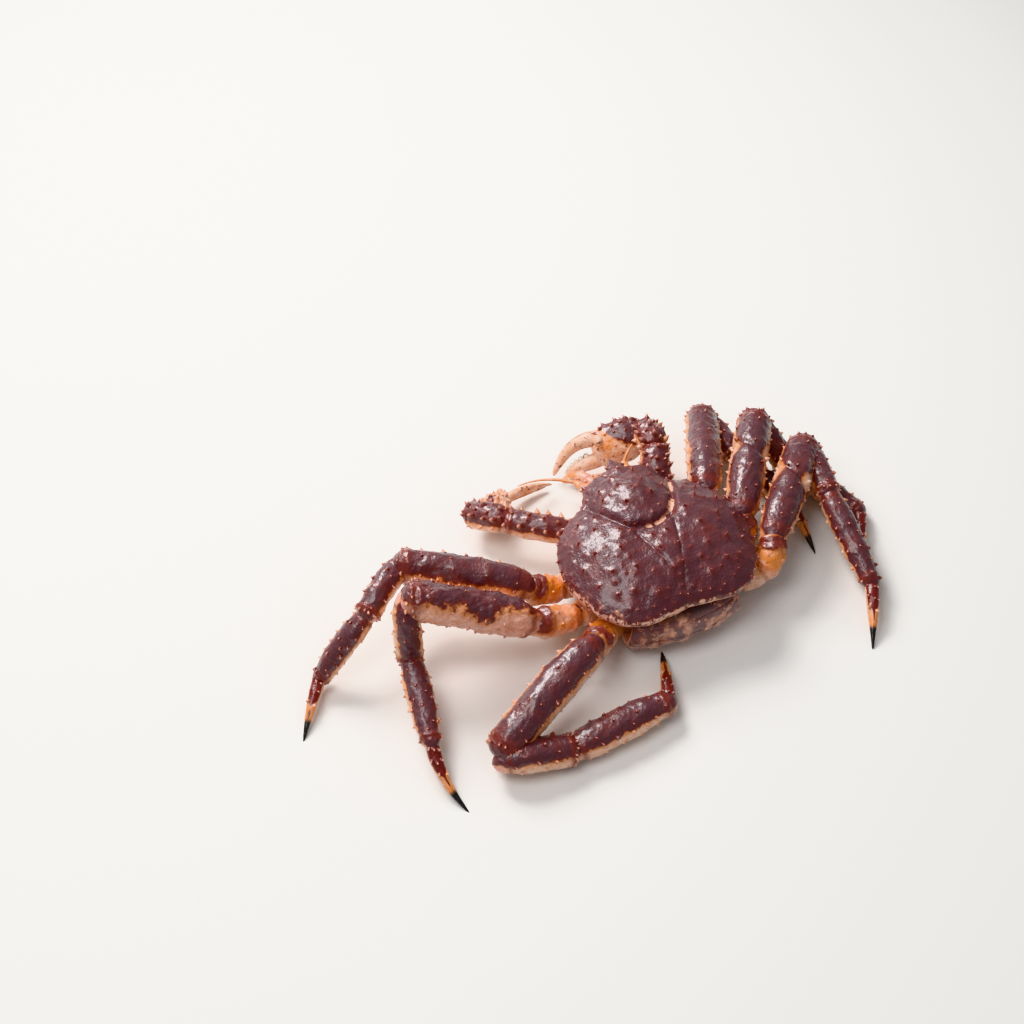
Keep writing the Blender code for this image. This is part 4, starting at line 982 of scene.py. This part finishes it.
def palm_masks(reaches):
    """Dark over the upper edge as far as the reaches, cream faces, an orange patch near the hinge."""
    def masks_at(t, a):
        turn = (np.degrees(a) + 180) % 360 - 180
        wedge = bump(t, 0.62, 0.1) * bump(turn, -40, 26)
        patch = bump(t, 0.8, 0.22) * bump(turn, -72, 40)
        crest = bump(turn, 0, 16) * ramp(t, 0.35, 0.6)
        return {
            "pale": np.clip(0.5 + (np.abs(turn) - tongue(t, reaches)) / 45 + 0.5 * crest - 0.6 * wedge, 0, 1),
            "warm": np.clip(0.08 + 1.1 * patch + 0.4 * bump(t, 0.05, 0.12), 0, 1),
            "pink": 0.3 * bump(t, 0.0, 0.15),
            "ring": 0.5 * bump(t, 0.02, 0.03),
        }
    return masks_at


def finger_masks(t, a):
    """Cream with an orange centre line."""
    off = np.abs((np.degrees(a) - 90 + 180) % 360 - 180)
    return {"pale": np.full(t.shape, 1.0), "warm": 0.15 + 0.75 * bump(off, 0, 45) * bump(t, 0.35, 0.35)}


def claw_limbs(name):
    """Base, merus, carpus, palm, fixed finger and movable finger of one claw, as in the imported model."""
    spots = CLAWS[name]
    widths, heights, half = CLAW_HALF_WIDTHS[name], CLAW_HALF_HEIGHTS[name], FINGER_HALF[name]
    upper = PALM_UPPER_EDGE[name]
    fixed_start, fixed_bend, fixed_tip = FIXED_FINGERS[name]
    start, bend, tip = MOVABLE_FINGERS[name]
    return {
        "base": Limb(spots[0], spots[1], widths[0], heights[0], BASE_SHAPE),
        "merus": Limb(spots[1], spots[2], widths[1], heights[1], MERUS_SHAPE, bow=2),
        "carpus": Limb(spots[2], spots[3], widths[2], heights[2], CARPUS_SHAPE, bow=3),
        "palm": Limb(spots[3], spots[4], widths[3], heights[3], PALM_SHAPE, upper=upper),
        "fixed": Limb(fixed_start, fixed_tip, half * 0.85, half * 0.95, FINGER_SHAPE, bend=fixed_bend,
                      upper=upper),
        "finger": Limb(start, tip, half * 0.9, half, FINGER_SHAPE, bend=bend, upper=upper),
    }


def tooth_shells(fixed, half):
    """Molars in a row along the upper side of the fixed finger, smaller towards its tip."""
    shells = []
    for step in range(MOLARS):
        centre = fixed.surface(np.array(MOLAR_START + MOLAR_STEP * step), np.array(0.0))
        radius = MOLAR_RADIUS * half / FINGER_HALF["claw_r"] * (1 - 0.08 * step)
        shells.append(ball_shell(centre, radius, masks={"pale": 1.0, "pink": 1.0}))
    return shells


# Materials.

def wire(tree, value, socket):
    """Join an output to a socket, or set the socket's own value."""
    if isinstance(value, bpy.types.NodeSocket):
        tree.links.new(value, socket)
    else:
        socket.default_value = value


def calculate(tree, operation, first, second=0.0, third=0.0, clamp=False):
    node = tree.nodes.new("ShaderNodeMath")
    node.operation, node.use_clamp = operation, clamp
    for value, socket in zip((first, second, third), node.inputs):
        wire(tree, value, socket)
    return node.outputs[0]


def swing(tree, noise, strength):
    """(noise - 0.5) strength."""
    return calculate(tree, "MULTIPLY", calculate(tree, "SUBTRACT", noise, 0.5), strength)


def blend_colours(tree, factor, first, second, kind="MIX"):
    node = tree.nodes.new("ShaderNodeMix")
    node.data_type, node.blend_type = "RGBA", kind
    wire(tree, factor, node.inputs["Factor"])
    wire(tree, first, node.inputs[6])
    wire(tree, second, node.inputs[7])
    return node.outputs[2]


def field(tree, place, scale, detail=3.0, roughness=0.55):
    node = tree.nodes.new("ShaderNodeTexNoise")
    node.inputs["Scale"].default_value = scale
    node.inputs["Detail"].default_value = detail
    node.inputs["Roughness"].default_value = roughness
    tree.links.new(place, node.inputs["Vector"])
    return node.outputs[0]


def step_up(tree, value, low, high):
    node = tree.nodes.new("ShaderNodeMapRange")
    node.interpolation_type = "SMOOTHSTEP"
    wire(tree, value, node.inputs["Value"])
    node.inputs["From Min"].default_value = low
    node.inputs["From Max"].default_value = high
    return node.outputs["Result"]


def shell_colouring():
    """Group that turns the masks into the mottled colour, roughness and height of the shell."""
    tree = bpy.data.node_groups.new("shell colouring", "ShaderNodeTree")
    for name in COLOURS:
        tree.interface.new_socket(name, in_out="INPUT", socket_type="NodeSocketColor")
    for name in MASKS + SETTINGS:
        tree.interface.new_socket(name, in_out="INPUT", socket_type="NodeSocketFloat")
    tree.interface.new_socket("Color", in_out="OUTPUT", socket_type="NodeSocketColor")
    tree.interface.new_socket("Roughness", in_out="OUTPUT", socket_type="NodeSocketFloat")
    tree.interface.new_socket("Height", in_out="OUTPUT", socket_type="NodeSocketFloat")
    given = tree.nodes.new("NodeGroupInput").outputs
    place = tree.nodes.new("ShaderNodeTexCoord").outputs["Object"]
    broad, middling, fine, specks = (field(tree, place, scale, detail) for scale, detail in PAINT_NOISE)
    red_share = calculate(tree, "MULTIPLY", step_up(tree, broad, 0.45, 0.72), 0.45)
    red_share = calculate(tree, "MAXIMUM", red_share, calculate(tree, "MULTIPLY", given["halo"], 0.7))
    colour = blend_colours(tree, red_share, given["Dark"], given["Red"])
    border = calculate(tree, "ADD", given["pale"], swing(tree, broad, 0.8))
    border = calculate(tree, "ADD", border, swing(tree, middling, 0.6))
    pale = step_up(tree, border, 0.46, 0.8)
    warmth = calculate(tree, "ADD", given["warm"], swing(tree, middling, given["mottle"]), clamp=True)
    light = blend_colours(tree, warmth, given["Cream"], given["Orange"])
    light = blend_colours(tree, given["pink"], light, given["Pink"])
    freckle = calculate(tree, "MULTIPLY", step_up(tree, specks, 0.6, 0.7), given["freckles"])
    light = blend_colours(tree, freckle, light, given["Red"])
    red_share = calculate(tree, "MULTIPLY", step_up(tree, border, 0.28, 0.46), given["border"])
    colour = blend_colours(tree, red_share, colour, given["Red"])
    orange_share = calculate(tree, "MULTIPLY", step_up(tree, border, 0.42, 0.56), given["border"])
    colour = blend_colours(tree, orange_share, colour, given["Orange"])
    colour = blend_colours(tree, pale, colour, light)
    colour = blend_colours(tree, given["ring"], colour, given["Red"])
    colour = blend_colours(tree, step_up(tree, given["tip"], 0.25, 0.85), colour, given["Tip"])
    # Near-black from the black mask: true black on eyes and toe tips, painted shadow at the abdomen's root.
    colour = blend_colours(tree, given["black"], colour, (0.012, 0.009, 0.008, 1))
    shade = calculate(tree, "MULTIPLY_ADD", fine, 0.5, 0.75)
    colour = blend_colours(tree, 1.0, colour, shade, "MULTIPLY")
    gloss = calculate(tree, "MULTIPLY_ADD", pale, 0.1, 0.27)
    gloss = calculate(tree, "ADD", gloss, calculate(tree, "MULTIPLY", fine, 0.16))
    pores = tree.nodes.new("ShaderNodeTexVoronoi")
    pores.inputs["Scale"].default_value = PORE_SCALE
    tree.links.new(place, pores.inputs["Vector"])
    height = calculate(tree, "ADD", middling, calculate(tree, "MULTIPLY", fine, 0.5))
    height = calculate(tree, "ADD", height, calculate(tree, "MULTIPLY", pores.outputs["Distance"], 0.5))
    out = tree.nodes.new("NodeGroupOutput").inputs
    tree.links.new(colour, out["Color"])
    tree.links.new(gloss, out["Roughness"])
    tree.links.new(height, out["Height"])
    return tree


def colouring_group():
    return bpy.data.node_groups.get("shell colouring") or shell_colouring()


def shell_finish(name, colours, freckles=0.3, mottle=1.8, border=0.8, relief=0.0009, coat=0.5):
    """Glossy painted shell: the masks of the mesh drive the colouring group."""
    found = bpy.data.materials.get(name)
    if found:
        return found
    finish = bpy.data.materials.new(name)
    finish.use_nodes = True
    tree = finish.node_tree
    shader = tree.nodes["Principled BSDF"]
    group = tree.nodes.new("ShaderNodeGroup")
    group.node_tree = colouring_group()
    for socket, colour in zip(COLOURS, colours):
        group.inputs[socket].default_value = (*colour[:3], 1)
    for socket, value in zip(SETTINGS, (freckles, mottle, border)):
        group.inputs[socket].default_value = value
    for mask in MASKS:
        given = tree.nodes.new("ShaderNodeAttribute")
        given.attribute_name = mask
        tree.links.new(given.outputs["Fac"], group.inputs[mask])
    relief_node = tree.nodes.new("ShaderNodeBump")
    relief_node.inputs["Distance"].default_value = relief
    relief_node.inputs["Strength"].default_value = 0.6
    tree.links.new(group.outputs["Height"], relief_node.inputs["Height"])
    tree.links.new(relief_node.outputs["Normal"], shader.inputs["Normal"])
    tree.links.new(group.outputs["Color"], shader.inputs["Base Color"])
    tree.links.new(group.outputs["Roughness"], shader.inputs["Roughness"])
    shader.inputs["Coat Weight"].default_value = coat
    shader.inputs["Coat Roughness"].default_value = 0.2
    return finish


def finishes():
    """The finishes of the crab, by material slot."""
    look = bpy.context.scene.king_crab_paint
    usual = (look.dark, look.red, look.cream, look.orange, look.pink, look.tip)
    back = (look.dark, look.red, look.cream, look.orange, look.pink, look.back_tip)
    joint = (look.dark, look.red, look.cream, look.joint, look.pink, look.tip)
    toe = (look.dactyl_red, look.dactyl_red, look.cream, look.orange, look.pink, look.tip)
    plate = (look.plate, look.red, look.cream, look.orange, look.pink, look.tip)
    claw = (look.dark, look.red, look.cream, look.orange, look.tooth, look.tip)
    return {
        "carapace_shell": shell_finish("back paint", back, 0.3, 1.8, 0.25, 0.001, 0.4),
        "leg_shell": shell_finish("leg paint", usual, 0.25, 2.4),
        "claw_shell": shell_finish("claw paint", claw, 0.9, 2.6),
        "joint_shell": shell_finish("joint paint", joint, 0.3, 1.5),
        "dactyl_shell": shell_finish("toe paint", toe),
        "mouthpart_shell": shell_finish("mouthpart paint", usual, 0.3, 3.0),
        "underside_shell": shell_finish("underside paint", plate, 0.5, 1.2, 0.15, 0.0012),
        "eye_black": shell_finish("eye paint", usual, 0.0, 1.0, 1.0, 0.0001, 1.0),
    }


# What a user may change.

COLOUR = {"subtype": "COLOR", "size": 3, "min": 0, "max": 1}
SPOT = {"subtype": "TRANSLATION", "unit": "LENGTH", "size": 3}
POWER = {"unit": "POWER", "min": 0}


class CrabPaint(bpy.types.PropertyGroup):
    dark: FloatVectorProperty(
        name="Dark shell", description="Purple-brown of the back and upper sides",
        default=(0.112, 0.042, 0.048), **COLOUR)
    red: FloatVectorProperty(
        name="Red shell", description="Red-brown round spines and in rings at the joints",
        default=(0.19, 0.032, 0.022), **COLOUR)
    cream: FloatVectorProperty(
        name="Cream", description="Pale lower sides", default=(0.8, 0.53, 0.4), **COLOUR)
    orange: FloatVectorProperty(
        name="Orange", description="Warm parts of the pale shell", default=(0.7, 0.25, 0.075), **COLOUR)
    joint: FloatVectorProperty(
        name="Joint orange", description="Yellow-orange of the leg bases",
        default=(0.74, 0.24, 0.05), **COLOUR)
    back_tip: FloatVectorProperty(
        name="Back spine tip", description="Tips of the spines on the back",
        default=(0.6, 0.3, 0.25), **COLOUR)
    pink: FloatVectorProperty(
        name="Pink", description="Joint skin", default=(0.72, 0.3, 0.27), **COLOUR)
    tip: FloatVectorProperty(
        name="Spine tip", description="Tips of the spines", default=(0.66, 0.3, 0.22), **COLOUR)
    tooth: FloatVectorProperty(
        name="Tooth white", description="Molars of the claws", default=(0.86, 0.78, 0.68), **COLOUR)
    dactyl_red: FloatVectorProperty(
        name="Last segment red", description="Upper side of the last leg segments",
        default=(0.15, 0.014, 0.01), **COLOUR)
    plate: FloatVectorProperty(
        name="Abdomen plates", description="Grey-purple of the plates of the abdomen",
        default=(0.2, 0.11, 0.11), **COLOUR)


class CrabSizes(bpy.types.PropertyGroup):
    spine_length: FloatProperty(
        name="Spine length", description="Length of every spine, as a share of its natural one",
        subtype="FACTOR", min=0.3, max=1.5, default=1.0)


class CrabStage(bpy.types.PropertyGroup):
    floor_colour: FloatVectorProperty(
        name="Floor", description="Colour of the floor", default=(0.8, 0.78, 0.75), **COLOUR)
    key_power: FloatProperty(
        name="Key light", description="Power of the large light behind the crab", default=32.0, **POWER)
    top_power: FloatProperty(
        name="Top light", description="Power of the light overhead", default=12.0, **POWER)
    sky: FloatProperty(
        name="Sky", description="Brightness of the soft light from all round", min=0, default=0.4)
    camera_place: FloatVectorProperty(
        name="Camera", description="Where the camera stands", default=(0.4515, 0.7309, 1.1820), **SPOT)
    camera_aim: FloatVectorProperty(
        name="Aim", description="Point that the camera looks at", default=(0.0898, -0.1189, 0.0), **SPOT)
    lens: FloatProperty(
        name="Lens", description="Focal length on a sensor 36 mm wide", unit="CAMERA", min=1,
        default=51.94)


def crab_sizes():
    return bpy.context.scene.king_crab_sizes


# Operators.

class CRAB_OT_back(bpy.types.Operator):
    """Build the carapace with its grooves, knobs and spines"""
    bl_idname = "crab.back"
    bl_label = "Carapace"

    def execute(self, context):
        make_piece("carapace", carapace_shells(), finishes()["carapace_shell"])
        return {"FINISHED"}


class CRAB_OT_underside(bpy.types.Operator):
    """Build the trunk and the folded abdomen"""
    bl_idname = "crab.underside"
    bl_label = "Trunk and abdomen"

    def execute(self, context):
        paint = finishes()["underside_shell"]
        make_piece("thorax", trunk_shells(), paint)
        flap = ("abdomen_rear", "abdomen_flap")
        make_piece("abdomen", abdomen_shells(), paint, flap)
        return {"FINISHED"}


class CRAB_OT_head(bpy.types.Operator):
    """Build the eyes, antennae and outer mouthparts"""
    bl_idname = "crab.head"
    bl_label = "Head"

    def execute(self, context):
        paint = finishes()
        make_piece("eye_l", eye_shells(1), paint["eye_black"])
        make_piece("eye_r", eye_shells(-1), paint["eye_black"])
        for name in ANTENNAE:
            make_piece(name, antenna_shells(name), paint["mouthpart_shell"])
        for name in MOUTH_LEGS:
            make_piece(name, mouth_leg_shells(name), paint["mouthpart_shell"])
        return {"FINISHED"}


class CRAB_OT_legs(bpy.types.Operator):
    """Build the six walking legs"""
    bl_idname = "crab.legs"
    bl_label = "Walking legs"

    def execute(self, context):
        paint = finishes()
        for number, name in enumerate(LEGS):
            limbs = leg_limbs(name)
            seed = LEG_SEED + 10 * number
            sign = 1 if "_l" in name else -1
            base_rows = [(sign * angle, *rest) for angle, *rest in BASE_ROWS]
            masks = base_masks(limbs["base"])
            base = limb_shells(limbs["base"], base_rows, masks, seed, 1.0, 1.5, BASE_COLLARS, 0.5)
            make_piece(name + "_base", base, paint["joint_shell"])
            for step, (part, rows) in enumerate(SEGMENT_ROWS):
                piece, limb = name + "_" + part, limbs[part]
                _, _, relief = THIN_SHELL.get(piece, USUAL_SHELL)
                shells = limb_shells(limb, rows, segment_masks(piece, limb), seed + 1 + step, relief=relief,
                                     crease=CREASES.get(piece))
                make_piece(piece, shells, paint["leg_shell"])
            dactyl = limb_shells(limbs["dactyl"], DACTYL_ROWS, dactyl_masks, seed + 4, 0.7, 0.2, ())
            make_piece(name + "_dactyl", dactyl, paint["dactyl_shell"])
        return {"FINISHED"}


class CRAB_OT_claws(bpy.types.Operator):
    """Build the large and the small claw"""
    bl_idname = "crab.claws"
    bl_label = "Claws"

    def execute(self, context):
        paint = finishes()
        for number, name in enumerate(CLAWS):
            limbs = claw_limbs(name)
            seed = CLAW_SEED + 10 * number
            base = limb_shells(limbs["base"], (), base_masks(limbs["base"]), seed, 1.0)
            make_piece(name + "_base", base, paint["joint_shell"])
            for step, (part, rows) in enumerate(CLAW_SEGMENT_ROWS):
                piece, limb = name + "_" + part, limbs[part]
                shells = limb_shells(limb, rows, segment_masks(piece, limb), seed + 1 + step, stoutness=0.5)
                make_piece(piece, shells, paint["leg_shell"])
            masks = palm_masks(PALM_DARK[name])
            palm = limb_shells(limbs["palm"], PALM_ROWS, masks, seed + 3, 0.8, 0.8, (), 0.5)
            palm += limb_shells(limbs["fixed"], (), finger_masks, seed + 4, 0.7, 0.5, ())
            palm += tooth_shells(limbs["fixed"], FINGER_HALF[name])
            place, turn, size = HINGE_KNOB
            knob = limbs["palm"].surface(np.array(place), np.array(math.radians(turn)))
            palm.append(ball_shell(knob, size * FINGER_HALF[name], masks={"pale": 1.0, "warm": 0.15}))
            make_piece(name + "_palm", palm, paint["claw_shell"])
            finger = limb_shells(limbs["finger"], (), finger_masks, seed + 5, 0.7, 0.3, ())
            make_piece(name + "_finger", finger, paint["claw_shell"])
        return {"FINISHED"}


class CRAB_OT_stage(bpy.types.Operator):
    """Set up the pale floor, the soft lights and the camera"""
    bl_idname = "crab.stage"
    bl_label = "Stage"

    def execute(self, context):
        look = context.scene.king_crab_stage
        self.add_floor(context, look)
        self.add_light(context, "key_light", look.key_power, *KEY_LIGHT)
        self.add_light(context, "top_light", look.top_power, *TOP_LIGHT)
        world = bpy.data.worlds.new("sky")
        world.use_nodes = True
        world.node_tree.nodes["Background"].inputs["Color"].default_value = (0.95, 0.97, 1, 1)
        world.node_tree.nodes["Background"].inputs["Strength"].default_value = look.sky
        context.scene.world = world
        context.scene.view_settings.view_transform = "Khronos PBR Neutral"
        camera = bpy.data.objects.new("camera", bpy.data.cameras.new("camera"))
        camera.data.sensor_width = 36
        camera.data.lens = look.lens
        camera.location = look.camera_place
        view = Vector(look.camera_aim) - Vector(look.camera_place)
        camera.rotation_euler = view.to_track_quat("-Z", "Y").to_euler()
        context.scene.collection.objects.link(camera)
        context.scene.camera = camera
        return {"FINISHED"}

    def add_floor(self, context, look):
        mesh = bpy.data.meshes.new("floor")
        corners = [(x * FLOOR_REACH, y * FLOOR_REACH, 0) for x, y in ((-1, -1), (1, -1), (1, 1), (-1, 1))]
        mesh.from_pydata(corners, [], [(0, 1, 2, 3)])
        paint = bpy.data.materials.new("floor_paint")
        paint.use_nodes = True
        shader = paint.node_tree.nodes["Principled BSDF"]
        shader.inputs["Base Color"].default_value = (*look.floor_colour, 1)
        shader.inputs["Roughness"].default_value = 0.75
        mesh.materials.append(paint)
        floor = bpy.data.objects.new("floor", mesh)
        context.scene.collection.objects.link(floor)

    def add_light(self, context, name, power, size, place):
        light = bpy.data.lights.new(name, "AREA")
        light.energy, light.size, light.shape = power, size, "DISK"
        lamp = bpy.data.objects.new(name, light)
        lamp.location = place
        lamp.rotation_euler = (Vector(LIGHT_AIM) - Vector(place)).to_track_quat("-Z", "Y").to_euler()
        context.scene.collection.objects.link(lamp)


class CRAB_PT_panel(bpy.types.Panel):
    """Sidebar panel that lists the pieces and what may be changed"""
    bl_label = "Red king crab"
    bl_idname = "CRAB_PT_panel"
    bl_space_type = "VIEW_3D"
    bl_region_type = "UI"
    bl_category = "Crab"

    def draw(self, context):
        scene = context.scene
        for group in (scene.king_crab_paint, scene.king_crab_sizes, scene.king_crab_stage):
            for name in group.__annotations__:
                self.layout.prop(group, name)
        for operator in OPERATORS:
            self.layout.operator(operator.bl_idname)


OPERATORS = (CRAB_OT_back, CRAB_OT_underside, CRAB_OT_head, CRAB_OT_legs, CRAB_OT_claws, CRAB_OT_stage)
CLASSES = (CrabPaint, CrabSizes, CrabStage) + OPERATORS + (CRAB_PT_panel,)


def register():
    for item in CLASSES:
        bpy.utils.register_class(item)
    bpy.types.Scene.king_crab_paint = PointerProperty(type=CrabPaint)
    bpy.types.Scene.king_crab_sizes = PointerProperty(type=CrabSizes)
    bpy.types.Scene.king_crab_stage = PointerProperty(type=CrabStage)


def unregister():
    del bpy.types.Scene.king_crab_stage
    del bpy.types.Scene.king_crab_sizes
    del bpy.types.Scene.king_crab_paint
    for item in reversed(CLASSES):
        bpy.utils.unregister_class(item)


def main():
    register()
    bpy.ops.crab.stage()
    bpy.ops.crab.back()
    bpy.ops.crab.underside()
    bpy.ops.crab.head()
    bpy.ops.crab.legs()
    bpy.ops.crab.claws()


if __name__ == "__main__":
    main()
